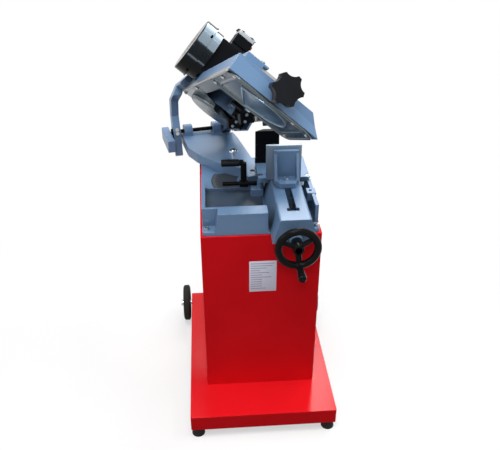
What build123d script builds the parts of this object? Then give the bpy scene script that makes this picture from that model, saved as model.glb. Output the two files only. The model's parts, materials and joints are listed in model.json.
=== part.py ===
from build123d import *
from math import cos, pi, radians, sin, tan
import os

# Metal cutting band saw on a wheeled sheet-metal stand. Lengths are in millimetres, angles in degrees.
# Three frames are used: the machine frame (x to the right of the operator, y to the rear, z up from the
# floor, x = 0 at the stand's middle, y = 0 at the platform's front edge), the head frame (turned by the
# mitre angle about the swivel axis) and the bow's wheel plane (u forwards from the hinge, v towards the
# cutting strand, n out of the bow's top side).

# Pose of the head at rest
MITRE = 12.0
BOW_TILT = 22.0
WHEEL_CANT = 43.0
SWIVEL_X, SWIVEL_Y = -3.0, 490.0
HINGE_Y, HINGE_Z = 393.0, 789.0

# Stand
FOOT_H, FOOT_R = 36.0, 22.5
PLATFORM_W, PLATFORM_D, PLATFORM_H = 500.0, 700.0, 58.0
CABINET_W, CABINET_D, CABINET_H, CABINET_Y = 380.0, 540.0, 621.0, 152.0
SHEET = 2.5
FLANGE = 30.0
AXLE_R, AXLE_Y, AXLE_Z, AXLE_HALF = 8.0, 657.0, 79.0, 292.0
ROAD_WHEEL_R, ROAD_WHEEL_W, ROAD_WHEEL_X = 73.0, 28.0, 270.0
PLATFORM_Z = FOOT_H + PLATFORM_H
STAND_TOP = PLATFORM_Z + CABINET_H

# Base casting and vise
BASE_HALF, BASE_Y0, BASE_Y1 = 183.0, 158.0, 678.0
RIM_Z, DECK_Z, TROUGH_Z = 791.0, 738.0, 727.0
RIM_DEPTH, DECK_Y = 50.0, 436.0
BED_Z = 803.0
VISE_X, VISE_Y0, VISE_Y1 = 96.0, 90.0, 425.0
VISE_TOP_HALF, VISE_FOOT_HALF = 47.0, 69.0
TABLE_Y0, TABLE_Y1, TABLE_T = 372.0, 540.0, 18.0
SCREW_Z, SCREW_R = 742.0, 10.0
JAW_FACE_Y, JAW_H, JAW_PLATE_T = 369.0, 122.0, 12.0
JAW_PLATE_X0, JAW_PLATE_X1 = 31.5, 147.0
FIXED_FACE_Y, FIXED_JAW_T, FIXED_JAW_H = 490.0, 20.0, 119.0
FIXED_JAW_X0, FIXED_JAW_X1 = 6.0, 89.0
HANDWHEEL_Y, HANDWHEEL_R = 28.0, 70.0
CRANK_ANGLE = -85.0

# Swivel arm
ARM_Z0, ARM_Z1 = 738.4, 775.0
PIVOT_R, HINGE_R = 18.0, 7.5
PIN_TOP = ARM_Z1 - 12
FIT, PRESS = 0.05, 0.02
GAP = 0.4

# Bow, in the wheel plane
BOW_U0, BOW_U1, BOW_DEPTH, WALL = 100.0, 880.0, 51.0, 7.0
RETURN_V, CUT_V_TOP, CUT_V_FRONT, CUT_V_REAR = -126.0, 125.0, 177.0, 128.0
THROAT_U0, THROAT_U1, SPINE_V = 380.0, 630.0, 5.0
BAND_R, BAND_W, BAND_T, BAND_N = 92.0, 13.0, 0.9, 17.0
BAND_LENGTH = 1640.0
IDLER_U = BOW_U1 - 28.0 - BAND_R
DRIVE_U = IDLER_U - (BAND_LENGTH - 2 * pi * BAND_R) / 2
STRAND_X, STRAND_Z = 0.0, 15.0
PLANE_X = STRAND_X - BAND_R * cos(radians(WHEEL_CANT)) - BAND_N * sin(radians(WHEEL_CANT))
PLANE_Z = STRAND_Z + BAND_R * sin(radians(WHEEL_CANT)) - BAND_N * cos(radians(WHEEL_CANT))
WHEEL_N0, WHEEL_N1 = 6.0, 28.0
SHAFT_R = 12.0
REAR_GUIDE_U, FRONT_GUIDE_U, GUIDE_TRAVEL = 322.0, 500.0, 100.0
COVER_T = 1.5
TENSION_V, TENSION_N, TENSION_R = 17.0, 36.5, 5.0
IDLER_R = 8.5

# Motor and worm gearbox, in the wheel plane
WORM_U, WORM_N, WORM_R, WORM_WHEEL_R = DRIVE_U + 58.0, 117.0, 13.0, 44.0
MOTOR_R, MOTOR_V0, MOTOR_V1 = 97.5, -209.0, -140.0
COWL_V, STATOR_R = -165.0, MOTOR_R - 6
GEARBOX_V0, GEARBOX_V1, GEARBOX_N1 = -136.0, -30.0, 207.0
SADDLE_V, SADDLE_N = -104.0, 190.0

HEAD = Location((SWIVEL_X, SWIVEL_Y, 0)) * Location((0, 0, 0), (0, 0, MITRE))
BOW = HEAD * Location((0, HINGE_Y, HINGE_Z), (-BOW_TILT, 0, 0))
CANT = radians(WHEEL_CANT)
WHEEL_PLANE = BOW * Plane(
    origin=(PLANE_X, 0, PLANE_Z), x_dir=(0, -1, 0), z_dir=(sin(CANT), 0, cos(CANT))
).location

IN_PLANE = WHEEL_PLANE.inverse() * BOW

parts = {}


def box(x0, x1, y0, y1, z0, z1):
    """A box between two corners."""
    middle = ((x0 + x1) / 2, (y0 + y1) / 2, (z0 + z1) / 2)
    return Pos(*middle) * Box(abs(x1 - x0), abs(y1 - y0), abs(z1 - z0))


def rod(start, end, radius):
    """A round bar from one point to another."""
    start, end = Vector(*start), Vector(*end)
    along = end - start
    bar = Cylinder(radius, along.length, align=(Align.CENTER, Align.CENTER, Align.MIN))
    return Plane(origin=start, z_dir=along) * bar


def prism_x(points, x0, x1):
    """An outline of (y, z) points run along x."""
    return extrude(Plane.YZ.offset(x0) * Polygon(*points, align=None), x1 - x0, dir=(1, 0, 0))


def prism_y(points, y0, y1):
    """An outline of (x, z) points run along y."""
    face = Plane(origin=(0, y0, 0), x_dir=(1, 0, 0), z_dir=(0, -1, 0)) * Polygon(*points, align=None)
    return extrude(face, y1 - y0, dir=(0, 1, 0))


def prism_z(points, z0, z1):
    """An outline of (x, y) points run along z."""
    return extrude(Plane.XY.offset(z0) * Polygon(*points, align=None), z1 - z0, dir=(0, 0, 1))


def rounded(solid, axis, radius, pick=lambda edge: True):
    """A solid with its edges along one axis rounded."""
    edges = [edge for edge in solid.edges().filter_by(axis) if pick(edge.center())]
    return fillet(edges, radius)


def screw_head(x, y, z, radius, height):
    """A cap screw head with a hexagon socket, its seat at z."""
    head = rod((x, y, z), (x, y, z + height), radius)
    socket = extrude(Plane((x, y, z + height * 0.4)) * RegularPolygon(radius * 0.55, 6), height)
    return head - socket


def keep(name, shape, place=Location()):
    """Store a finished sub-part, moved from its own frame into the machine frame."""
    parts[name] = place * shape


# Stand: platform, feet, road wheels and cabinet

def tray(x_half, y0, y1, z0, z1):
    """A folded sheet box with an inward flange round its open bottom."""
    shell = rounded(box(-x_half, x_half, y0, y1, z0, z1), Axis.Z, 5)
    inside = box(-x_half + SHEET, x_half - SHEET, y0 + SHEET, y1 - SHEET, z0 + SHEET, z1 - SHEET)
    mouth = box(-x_half + FLANGE, x_half - FLANGE, y0 + FLANGE, y1 - FLANGE, z0 - 1, z0 + SHEET + 1)
    return shell - inside - mouth


def platform():
    half = PLATFORM_W / 2
    shell = tray(half, 0, PLATFORM_D, FOOT_H, PLATFORM_Z)
    return shell - rod((-half - 1, AXLE_Y, AXLE_Z), (half + 1, AXLE_Y, AXLE_Z), AXLE_R + FIT)


def rubber_feet():
    feet = []
    for x in (-PLATFORM_W / 2 + 24, PLATFORM_W / 2 - 24):
        for y in (24, PLATFORM_D - 24):
            foot = Cone(FOOT_R, FOOT_R - 4, FOOT_H, align=(Align.CENTER, Align.CENTER, Align.MIN))
            feet.append(Pos(x, y, 0) * foot)
    return Compound(feet)


def road_wheel(side):
    """Rubber tyre and its hub, on the fixed axle."""
    x = side * ROAD_WHEEL_X
    half = ROAD_WHEEL_W / 2
    hub_r = ROAD_WHEEL_R - 20
    tyre = rod((x - half, AXLE_Y, AXLE_Z), (x + half, AXLE_Y, AXLE_Z), ROAD_WHEEL_R)
    tyre = fillet(tyre.edges().filter_by(GeomType.CIRCLE), 9)
    tyre -= rod((x - half - 1, AXLE_Y, AXLE_Z), (x + half + 1, AXLE_Y, AXLE_Z), hub_r)
    hub = rod((x - half + 3, AXLE_Y, AXLE_Z), (x + half - 3, AXLE_Y, AXLE_Z), hub_r)
    hub -= rod((x - half, AXLE_Y, AXLE_Z), (x - half + 9, AXLE_Y, AXLE_Z), hub_r - 8)
    hub -= rod((x + half - 9, AXLE_Y, AXLE_Z), (x + half, AXLE_Y, AXLE_Z), hub_r - 8)
    hub += rod((x - half, AXLE_Y, AXLE_Z), (x + half, AXLE_Y, AXLE_Z), AXLE_R + 8)
    hub -= rod((x - half - 1, AXLE_Y, AXLE_Z), (x + half + 1, AXLE_Y, AXLE_Z), AXLE_R + FIT)
    return hub, tyre


def wheel_axle():
    """Fixed axle with a round cap on each end."""
    axle = rod((-AXLE_HALF, AXLE_Y, AXLE_Z), (AXLE_HALF, AXLE_Y, AXLE_Z), AXLE_R)
    for side in (-1, 1):
        inner = side * (ROAD_WHEEL_X + ROAD_WHEEL_W / 2 + 1)
        axle += rod((inner, AXLE_Y, AXLE_Z), (side * (AXLE_HALF + 3), AXLE_Y, AXLE_Z), AXLE_R + 5)
    return axle


def stand_cabinet():
    return tray(CABINET_W / 2, CABINET_Y, CABINET_Y + CABINET_D, PLATFORM_Z, STAND_TOP)


keep("platform", platform())
keep("rubber_feet", rubber_feet())
keep("wheel_axle", wheel_axle())
for side_name, side_sign in (("left", -1), ("right", 1)):
    wheel_hub, wheel_tyre = road_wheel(side_sign)
    keep(side_name + "_wheel_hub", wheel_hub)
    keep(side_name + "_wheel_tyre", wheel_tyre)
keep("stand_cabinet", stand_cabinet())


# Base casting with chip trough, deck for the swivel arm and lever lugs

LEVER_X, LEVER_Y, LEVER_Z, LEVER_R = -38.5, 420.0, 762.0, 7.0
GRIP_Y, GRIP_Z, GRIP_R = LEVER_Y + 6, 837.0, 12.5
COLUMNS = ((16.0, 399.0), (176.0, 385.0))
COLUMN_R = 10.5
POCKET_D = 40.0
STOP_ROD = (BASE_HALF - 13, 294.0)
BASE_BOLTS = ((-BASE_HALF + 14, BASE_Y0 + 20), (BASE_HALF - 8.5, BASE_Y0 + 20),
              (-BASE_HALF + 22, BASE_Y1 - 22), (BASE_HALF - 22, BASE_Y1 - 22))
NOTCH_Z, SUNK_Z = STAND_TOP + 14, DECK_Z - 10
SCALE_R0, SCALE_R1 = 56.0, 146.0


def base_casting():
    body = rounded(box(-BASE_HALF, BASE_HALF, BASE_Y0, BASE_Y1, STAND_TOP, RIM_Z), Axis.Z, 10)
    body -= box(-200, 200, DECK_Y, BASE_Y1 + 9, DECK_Z, RIM_Z + 9)
    body -= box(-BASE_HALF + 12, 30, BASE_Y0 + RIM_DEPTH, DECK_Y, TROUGH_Z, RIM_Z + 9)
    body -= box(20, BASE_HALF - 11, BASE_Y0 - 9, DECK_Y, STAND_TOP + 6.9, RIM_Z + 9)
    body -= box(VISE_X - 29, VISE_X + 29, DECK_Y - 1, 494, STAND_TOP + 6.9, DECK_Z + 1)
    body -= box(-122, 8, BASE_Y0 + 12, BASE_Y0 + RIM_DEPTH - 10, STAND_TOP - 1, RIM_Z - 12)
    left_pocket = [(-200, NOTCH_Z), (-143, NOTCH_Z), (-132, RIM_Z + 9), (-200, RIM_Z + 9)]
    body -= prism_y(left_pocket, BASE_Y0 - 1, BASE_Y0 + POCKET_D)
    body -= box(BASE_HALF - 17, 200, BASE_Y0 - 1, BASE_Y0 + POCKET_D, NOTCH_Z, RIM_Z + 9)
    body += box(BASE_HALF - 17, BASE_HALF - 10, BASE_Y0, BASE_Y0 + POCKET_D, STAND_TOP + 5, NOTCH_Z)
    for x, y in COLUMNS:
        body += rod((x, y, STAND_TOP + 2), (x, y, BED_Z - TABLE_T - 0.2), COLUMN_R)
        body -= rod((x, y, BED_Z - 60), (x, y, BED_Z), 5)
    body += box(-16, 26, 386, LEVER_Y + 13, TROUGH_Z - 2, LEVER_Z - LEVER_R - 2)
    body += box(12, 26, LEVER_Y - 13, LEVER_Y + 13, TROUGH_Z, LEVER_Z)
    body += rod((12, LEVER_Y, LEVER_Z), (26, LEVER_Y, LEVER_Z), 13)
    body -= rod((-110, LEVER_Y, LEVER_Z), (30, LEVER_Y, LEVER_Z), LEVER_R + FIT)
    body += box(STOP_ROD[0] - 12, BASE_HALF + 3, STOP_ROD[1] - 20, STOP_ROD[1] + 16, RIM_Z - 26, RIM_Z + 2)
    body -= rod((*STOP_ROD, RIM_Z - 30), (*STOP_ROD, RIM_Z + 9), 5)
    body -= rod((SWIVEL_X, SWIVEL_Y, STAND_TOP - 1), (SWIVEL_X, SWIVEL_Y, DECK_Z + 1), PIVOT_R)
    body -= rod((-160, 245, STAND_TOP - 1), (-160, 245, TROUGH_Z + 1), 6)
    for x, y in BASE_BOLTS:
        body -= rod((x, y, STAND_TOP - 1), (x, y, DECK_Z + 1), 5.5)
    for x, y in BASE_BOLTS[2:]:
        body -= rod((x, y, SUNK_Z), (x, y, DECK_Z + 1), 9.5)
    body -= box(BASE_HALF - 14, BASE_HALF + 1, TABLE_Y0 - 6, DECK_Y, BED_Z - TABLE_T - 0.2, RIM_Z + 9)
    return body


def base_bolts():
    bolts = []
    for index, (x, y) in enumerate(BASE_BOLTS):
        seat = NOTCH_Z if index < 2 else SUNK_Z
        bolts.append(screw_head(x, y, seat, 8, 8) + rod((x, y, STAND_TOP), (x, y, seat), 5))
    return Compound(bolts)


def swivel_pin():
    """Pivot pin, sunk below the arm's top."""
    return rod((SWIVEL_X, SWIVEL_Y, STAND_TOP + 1), (SWIVEL_X, SWIVEL_Y, PIN_TOP), PIVOT_R)


def mitre_scale():
    """Graduated sector on the deck in front of the arm."""
    sector = rod((SWIVEL_X, SWIVEL_Y, 0), (SWIVEL_X, SWIVEL_Y, 0.35), SCALE_R1)
    sector -= rod((SWIVEL_X, SWIVEL_Y, -1), (SWIVEL_X, SWIVEL_Y, 2), SCALE_R0)
    sector &= box(SWIVEL_X - SCALE_R1, SWIVEL_X - 20, DECK_Y + 2, SWIVEL_Y + 60, -1, 2)
    return Pos(0, 0, DECK_Z) * sector


keep("base_casting", base_casting())
keep("base_bolts", base_bolts())
keep("swivel_pin", swivel_pin())
keep("mitre_scale", mitre_scale())


# Vise: bed with table, fixed jaw, moving jaw, screw, handwheel and crank handle

SLOT_HALF, SLOT_END, SLOT_Y0, SLOT_Y1 = 11.0, 19.0, 150.0, 478.0
NUT_Y0, NUT_Y1 = 300.0, 345.0


def vise_bed():
    foot_z = STAND_TOP + 7
    outline = [(VISE_X - VISE_FOOT_HALF, foot_z), (VISE_X + VISE_FOOT_HALF, foot_z),
               (VISE_X + VISE_TOP_HALF, BED_Z), (VISE_X - VISE_TOP_HALF, BED_Z)]
    body = prism_y(outline, VISE_Y0, VISE_Y1)
    body = fillet(body.edges().filter_by(Axis.Y).group_by(Axis.Z)[-1], 6)
    body += rounded(box(8, 180, TABLE_Y0, TABLE_Y1, BED_Z - TABLE_T, BED_Z), Axis.Z, 8)
    body -= box(VISE_X - 27, VISE_X + 27, VISE_Y0 + 14, VISE_Y1 + 9, foot_z - 9, BED_Z - 14)
    body -= box(VISE_X - SLOT_HALF, VISE_X + SLOT_HALF, SLOT_Y0, SLOT_Y1, BED_Z - 40, BED_Z + 9)
    body -= box(VISE_X - SLOT_END, VISE_X + SLOT_END, SLOT_Y0 - 4, SLOT_Y0 + 14, BED_Z - 40, BED_Z + 9)
    body += rod((VISE_X, VISE_Y0 - 26, SCREW_Z), (VISE_X, VISE_Y0 + 2, SCREW_Z), 19)
    body -= rod((VISE_X, VISE_Y0 - 40, SCREW_Z), (VISE_X, VISE_Y0 + 20, SCREW_Z), SCREW_R + FIT)
    for x, y in COLUMNS:
        body -= rod((x, y, BED_Z - TABLE_T - 1), (x, y, BED_Z + 1), 5.5)
        body -= rod((x, y, BED_Z - 9), (x, y, BED_Z + 1), 9)
    return body


def table_bolts():
    """Cap screws that hold the table on the base's columns."""
    bolts = []
    for x, y in COLUMNS:
        head = screw_head(x, y, BED_Z - 9, 8, 8)
        bolts.append(head + rod((x, y, BED_Z - 50), (x, y, BED_Z - 9), 4.9))
    return Compound(bolts)


def fixed_jaw():
    """Black cast jaw, cut back at its blade end so that the blade can swing past."""
    back = FIXED_FACE_Y + FIXED_JAW_T
    outline = [(FIXED_JAW_X0, FIXED_FACE_Y), (FIXED_JAW_X1, FIXED_FACE_Y), (FIXED_JAW_X1, back), (34, back)]
    upright = prism_z(outline, BED_Z + 0.05, BED_Z + FIXED_JAW_H)
    return fillet(upright.edges().group_by(Axis.Z)[-1], 2)


def jaw_bracket():
    """L-shaped moving jaw with two side ribs, a key in the bed's slot and the nut for the screw."""
    back = JAW_FACE_Y - JAW_PLATE_T
    front = back - 65
    half = 40.5
    z0 = BED_Z + 0.3
    body = prism_z([(VISE_X - half, back), (VISE_X - half, back - 24), (VISE_X - 25, front),
                    (VISE_X + 25, front), (VISE_X + half, back - 24), (VISE_X + half, back)], z0, z0 + 17)
    body += box(VISE_X - half, VISE_X + half, back - 14, back, z0, z0 + 109)
    for x in (VISE_X - half, VISE_X + half - 9):
        body += prism_x([(back - 14, z0 + 16), (back - 46, z0 + 16), (back - 14, z0 + 100)], x, x + 9)
    key = box(VISE_X - SLOT_HALF + GAP, VISE_X + SLOT_HALF - GAP, NUT_Y0, NUT_Y1, SCREW_Z + 5, z0 + 1)
    nut = box(VISE_X - 20, VISE_X + 20, NUT_Y0, NUT_Y1, SCREW_Z - 17, SCREW_Z + 24)
    body += key + nut
    body -= rod((VISE_X, NUT_Y0 - 9, SCREW_Z), (VISE_X, NUT_Y1 + 9, SCREW_Z), SCREW_R + FIT)
    return body


def jaw_plate():
    z0 = BED_Z + 0.5
    plate = box(JAW_PLATE_X0, JAW_PLATE_X1, JAW_FACE_Y - JAW_PLATE_T, JAW_FACE_Y, z0, BED_Z + JAW_H)
    for x in (VISE_X - 22, VISE_X + 22):
        plate -= rod((x, JAW_FACE_Y - 6, z0 + 50), (x, JAW_FACE_Y + 1, z0 + 50), 6)
    return plate


def jaw_bolt():
    """Hexagon bolt that holds the bracket down on its nut."""
    y = JAW_FACE_Y - JAW_PLATE_T - 38
    seat = BED_Z + 17.3
    return extrude(Plane((VISE_X, y, seat)) * RegularPolygon(9, 6), 8)


def vise_screw():
    screw = rod((VISE_X, HANDWHEEL_Y - 12, SCREW_Z), (VISE_X, 486, SCREW_Z), SCREW_R)
    collar = rod((VISE_X, VISE_Y0 + 14.5, SCREW_Z), (VISE_X, VISE_Y0 + 24, SCREW_Z), 15)
    return screw + collar


def handwheel():
    """Round-rimmed wheel with three spokes, dished towards the vise."""
    y = HANDWHEEL_Y
    axis_point = (VISE_X, y, SCREW_Z)
    section_face = Plane.XY * Pos(HANDWHEEL_R - 9, 0) * RectangleRounded(18, 18, 7)
    rim = Pos(*axis_point) * revolve(section_face, Axis.Y)
    wheel = rim + rod((VISE_X, y - 12, SCREW_Z), (VISE_X, VISE_Y0 - 27, SCREW_Z), 17)
    for angle in (CRANK_ANGLE, CRANK_ANGLE + 120, CRANK_ANGLE + 240):
        reach = HANDWHEEL_R - 10
        tip = (VISE_X + reach * cos(radians(angle)), y, SCREW_Z + reach * sin(radians(angle)))
        wheel += rod((VISE_X, y + 8, SCREW_Z), tip, 7)
    wheel -= rod((VISE_X, y - 40, SCREW_Z), (VISE_X, VISE_Y0, SCREW_Z), SCREW_R)
    crank = crank_centre()
    wheel += rod((crank[0], y - 12, crank[1]), (crank[0], y + 3, crank[1]), 11)
    return wheel - rod((crank[0], y - 20, crank[1]), (crank[0], y + 12, crank[1]), 4 + PRESS)


def crank_centre():
    reach = HANDWHEEL_R - 9
    return VISE_X + reach * cos(radians(CRANK_ANGLE)), SCREW_Z + reach * sin(radians(CRANK_ANGLE))


def crank_bolt():
    x, z = crank_centre()
    y = HANDWHEEL_Y
    return rod((x, y - 73, z), (x, y + 9, z), 4) + rod((x, y - 76, z), (x, y - 72.5, z), 7)


def crank_grip():
    """Turned handle, thicker towards its end, free to spin on its bolt."""
    x, z = crank_centre()
    y0, y1 = HANDWHEEL_Y - 12.5, HANDWHEEL_Y - 72
    profile = [(4 + FIT, y0), (9, y0), (10, y0 - 10), (13, y1 + 16), (12, y1 + 4), (9, y1), (4 + FIT, y1)]
    half = Plane.XY * Polygon(*profile, align=None)
    return Pos(x, 0, z) * revolve(half, Axis.Y)


keep("vise_bed", vise_bed())
keep("table_bolts", table_bolts())
keep("fixed_jaw", fixed_jaw())
keep("jaw_bracket", jaw_bracket())
keep("jaw_plate", jaw_plate())
keep("jaw_bolt", jaw_bolt())
keep("vise_screw", vise_screw())
keep("handwheel", handwheel())
keep("crank_bolt", crank_bolt())
keep("crank_grip", crank_grip())


# Mitre clamp lever: a cross shaft with a leg and a grip

def clamp_lever():
    shaft = rod((-111, LEVER_Y, LEVER_Z), (24, LEVER_Y, LEVER_Z), LEVER_R)
    leg_r = GRIP_R - 2
    boss = rod((LEVER_X - 14, LEVER_Y, LEVER_Z), (LEVER_X + 14, LEVER_Y, LEVER_Z), GRIP_R)
    leg = rod((LEVER_X, LEVER_Y, LEVER_Z), (LEVER_X, GRIP_Y, GRIP_Z), leg_r)
    elbow = Pos(LEVER_X, GRIP_Y, GRIP_Z) * Sphere(leg_r)
    bar = rod((LEVER_X, GRIP_Y, GRIP_Z), (LEVER_X - 14, GRIP_Y, GRIP_Z), leg_r)
    return shaft + boss + leg + elbow + bar


def lever_grip():
    grip = rod((LEVER_X - 14, GRIP_Y, GRIP_Z), (LEVER_X - 76, GRIP_Y, GRIP_Z), GRIP_R)
    return fillet(grip.edges().filter_by(GeomType.CIRCLE), 4)


keep("clamp_lever", clamp_lever())
keep("lever_grip", lever_grip())


# Swivel arm in the head frame: flat casting with two hinge lugs, hinge shaft, stop post, switch box

LUGS = ((-168.0, -136.0), (-54.0, -20.0))
KNUCKLES = ((-212.0, -184.0), (-14.0, 18.0))
LUG_R = 25.0
STOP_X, STOP_Y, STOP_TOP = -39.0, 110.0, 814.0
SIDE_X0, SIDE_X1, SIDE_Y0, SIDE_Y1, SIDE_Z0, SIDE_Z1 = -247.0, -219.0, 300.0, 450.0, 744.0, 790.0


def swivel_arm():
    outline = [(27, -42), (27, 300), (18, 421), (-178, 421), (-178, 262), (-156, 192), (-108, 105),
               (-35, 33), (-30, 20), (-30, -42)]
    body = prism_z(outline, ARM_Z0, ARM_Z1)
    corners = [e for e in body.edges().filter_by(Axis.Z) if e.center().X < -100 and e.center().Y < 300]
    body = fillet(corners, 60)
    for x0, x1 in LUGS:
        lug = box(x0, x1, HINGE_Y - LUG_R, HINGE_Y + LUG_R, ARM_Z0, HINGE_Z)
        body += lug + rod((x0, HINGE_Y, HINGE_Z), (x1, HINGE_Y, HINGE_Z), LUG_R)
    body += box(-178, -150, 415, SIDE_Y1, ARM_Z0, ARM_Z0 + 28)
    body -= box(KNUCKLES[1][0] - 3, 60, HINGE_Y - 34, HINGE_Y + 34, HINGE_Z - 28, ARM_Z1 + 1)
    body -= rod((-230, HINGE_Y, HINGE_Z), (40, HINGE_Y, HINGE_Z), HINGE_R)
    body -= rod((0, 0, ARM_Z0 - 1), (0, 0, PIN_TOP + 0.5), PIVOT_R + FIT)
    return body - rod((0, 0, ARM_Z0), (0, 0, ARM_Z1 + 1), PIVOT_R / 2)


def hinge_shaft():
    """Hinge shaft with a head at each end, outside the bow's knuckles."""
    x0, x1 = KNUCKLES[0][0], KNUCKLES[1][1]
    shaft = rod((x0 - 4, HINGE_Y, HINGE_Z), (x1 + 6, HINGE_Y, HINGE_Z), HINGE_R)
    for start, end in ((x0 - 6, x0 - 0.5), (x1 + 0.5, x1 + 8)):
        shaft += rod((start, HINGE_Y, HINGE_Z), (end, HINGE_Y, HINGE_Z), 13)
    return shaft


def stop_post():
    """Threaded post with a lock nut that the bow comes down on."""
    post = rod((STOP_X, STOP_Y, ARM_Z1), (STOP_X, STOP_Y, STOP_TOP - 9), 11)
    post += extrude(Plane((STOP_X, STOP_Y, STOP_TOP - 12)) * RegularPolygon(16, 6), 9)
    return post + rod((STOP_X, STOP_Y, STOP_TOP - 4), (STOP_X, STOP_Y, STOP_TOP), 8)


def side_bracket():
    """Hollow arm beside the hinge, open below, bolted to the swivel arm's rear corner."""
    body = box(SIDE_X0, SIDE_X1, SIDE_Y0, SIDE_Y1, SIDE_Z0, SIDE_Z1)
    body = rounded(body, Axis.Y, 4, lambda c: c.Z > SIDE_Z1 - 1)
    body -= box(SIDE_X0 + 4, SIDE_X1 - 4, SIDE_Y0 + 4, SIDE_Y1 - 15, SIDE_Z0 - 1, SIDE_Z1 - 4)
    return body + box(SIDE_X1 - 1, -178.05, SIDE_Y1 - 14, SIDE_Y1, SIDE_Z0, ARM_Z0 + 28)


keep("swivel_arm", swivel_arm(), HEAD)
keep("hinge_shaft", hinge_shaft(), HEAD)
keep("stop_post", stop_post(), HEAD)
keep("side_bracket", side_bracket(), HEAD)


# Bow casting in the wheel plane: idler housing, drive housing and the spine between them

FLARE = 8.0


def section(v0, v1_low, v1_top, n0, n1, u0, u1):
    """A straight run of the bow's cross-section, slanted on the cutting side."""
    return prism_x([(v0, n0), (v1_low, n0), (v1_top, n1), (v0, n1)], u0, u1)


def end_flare():
    """Lower strip of the end wall, which leans out below a slanting crease."""
    ends = []
    for v, crease_n in ((RETURN_V, 47), (CUT_V_FRONT, 22)):
        place = Plane(origin=(0, v, 0), x_dir=(1, 0, 0), z_dir=(0, -1, 0))
        ends.append(place * Polygon((BOW_U1, 0), (BOW_U1 + FLARE, 0), (BOW_U1, crease_n), align=None))
    wedge = loft(ends, ruled=True)
    return wedge & section(RETURN_V, CUT_V_FRONT, CUT_V_TOP, 0, BOW_DEPTH, BOW_U1 - 1, BOW_U1 + 2 * FLARE)


def bow_outside():
    front = section(RETURN_V, CUT_V_FRONT, CUT_V_TOP, 0, BOW_DEPTH, THROAT_U1, BOW_U1) + end_flare()
    rear = section(RETURN_V, CUT_V_REAR, CUT_V_TOP - 3, 0, BOW_DEPTH, BOW_U0, THROAT_U0)
    slant = [(372, SPINE_V), (268, CUT_V_FRONT), (400, CUT_V_FRONT), (400, SPINE_V)]
    rear -= prism_z(slant, -9, BOW_DEPTH + 9)
    spine = section(RETURN_V, SPINE_V, SPINE_V, 0, BOW_DEPTH, THROAT_U0, THROAT_U1)
    return front + rear + spine


def bow_frame():
    body = bow_outside() + IN_PLANE * left_hinge_arm() + IN_PLANE * right_hinge_arm()
    top = BOW_DEPTH - WALL
    inner_v = RETURN_V + WALL
    body -= section(inner_v, CUT_V_FRONT - 9, CUT_V_TOP - WALL, -1, top, THROAT_U1, BOW_U1 - 2 * WALL)
    body -= section(inner_v, CUT_V_REAR - WALL, CUT_V_TOP - 10, -1, top, BOW_U0 + WALL, THROAT_U0)
    body -= section(inner_v, SPINE_V + 9, SPINE_V + 9, -1, top, THROAT_U0 - 9, THROAT_U1 + 9)
    body -= rod((DRIVE_U, 0, top - 9), (DRIVE_U, 0, BOW_DEPTH + 9), 30)
    body -= box(IDLER_U - 26, IDLER_U + 44, -15, 33, top - 9, BOW_DEPTH + 9)
    body -= rod((BOW_U1 - 30, TENSION_V, TENSION_N), (BOW_U1 + 9, TENSION_V, TENSION_N), TENSION_R + FIT)
    body -= rod((BOW_U1, TENSION_V, TENSION_N), (BOW_U1 + 9, TENSION_V, TENSION_N), 12.5)
    hinge_bore = rod((-300, 0, 0), (100, 0, 0), HINGE_R + FIT)
    body -= box(BOW_U0 + 1, THROAT_U0, -200, 200, -60, 0)
    return body - IN_PLANE * hinge_bore


def left_hinge_arm():
    """Slender arm from the hinge up to the return side of the bow, with a tail below the hinge."""
    x0, x1 = KNUCKLES[0]
    side = [(25, 0), (17, 70), (-38, 168), (-92, 214), (-190, 214), (-190, 120), (-104, 136),
            (-58, 118), (-22, 60), (-25, 0), (-12, -92), (2, -96), (12, -90)]
    front = [(x0, -110), (x1, -110), (x1, 112), (-168, 150), (-130, 192), (-150, 204), (-186, 178), (x0, 128)]
    arm = prism_x(side, x0 - 9, -100) & prism_y(front, -260, 60)
    return arm + rod((x0, 0, 0), (x1, 0, 0), 25)


def right_hinge_arm():
    x0, x1 = KNUCKLES[1]
    side = [(25, 0), (12, 24), (-60, 58), (-130, 62), (-130, -6), (-70, -8), (-20, -18)]
    return prism_x(side, x0, x1) + rod((x0, 0, 0), (x1, 0, 0), 25)


def knuckle_bolts():
    """Pinch bolts on the front of the left knuckle."""
    x = (KNUCKLES[0][0] + KNUCKLES[0][1]) / 2
    return Compound([rod((x, -31, z), (x, -25.3, z), 7) for z in (6.5, -8.5)])


keep("bow_frame", bow_frame(), WHEEL_PLANE)
keep("knuckle_bolts", knuckle_bolts(), BOW)


# Blade covers on the underside

def cover_sheet(u0, u1, v0, v1):
    return rounded(box(u0, u1, v0, v1, -COVER_T, -0.05), Axis.Z, 8)


def front_cover():
    """Idler side cover with a pressed D-shaped panel."""
    sheet = cover_sheet(THROAT_U1 + 2, BOW_U1 - 22, RETURN_V + 3, CUT_V_FRONT - 6)
    panel = rod((IDLER_U, 14, -7), (IDLER_U, 14, -0.5), BAND_R + 8)
    chord = Plane(origin=(726, -29, 0), x_dir=(-170, 60, 0), z_dir=(0, 0, 1))
    panel -= chord * Box(400, 300, 40, align=(Align.CENTER, Align.MIN, Align.CENTER))
    return sheet + panel


def rear_cover():
    """Drive side cover, deeper and rounded at its rear end."""
    sheet = cover_sheet(BOW_U0 + 2, THROAT_U0 - 3, RETURN_V + 3, CUT_V_REAR - 3)
    bulge = rod((DRIVE_U, 0, -20), (DRIVE_U, 0, -0.5), BAND_R + 6)
    bulge = fillet(bulge.edges().filter_by(GeomType.CIRCLE).group_by(Axis.Z)[0], 10)
    throat = prism_z([(378, -90), (207, 122), (207, 300), (500, 300), (500, -90)], -60, 60)
    return sheet + bulge - throat


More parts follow.
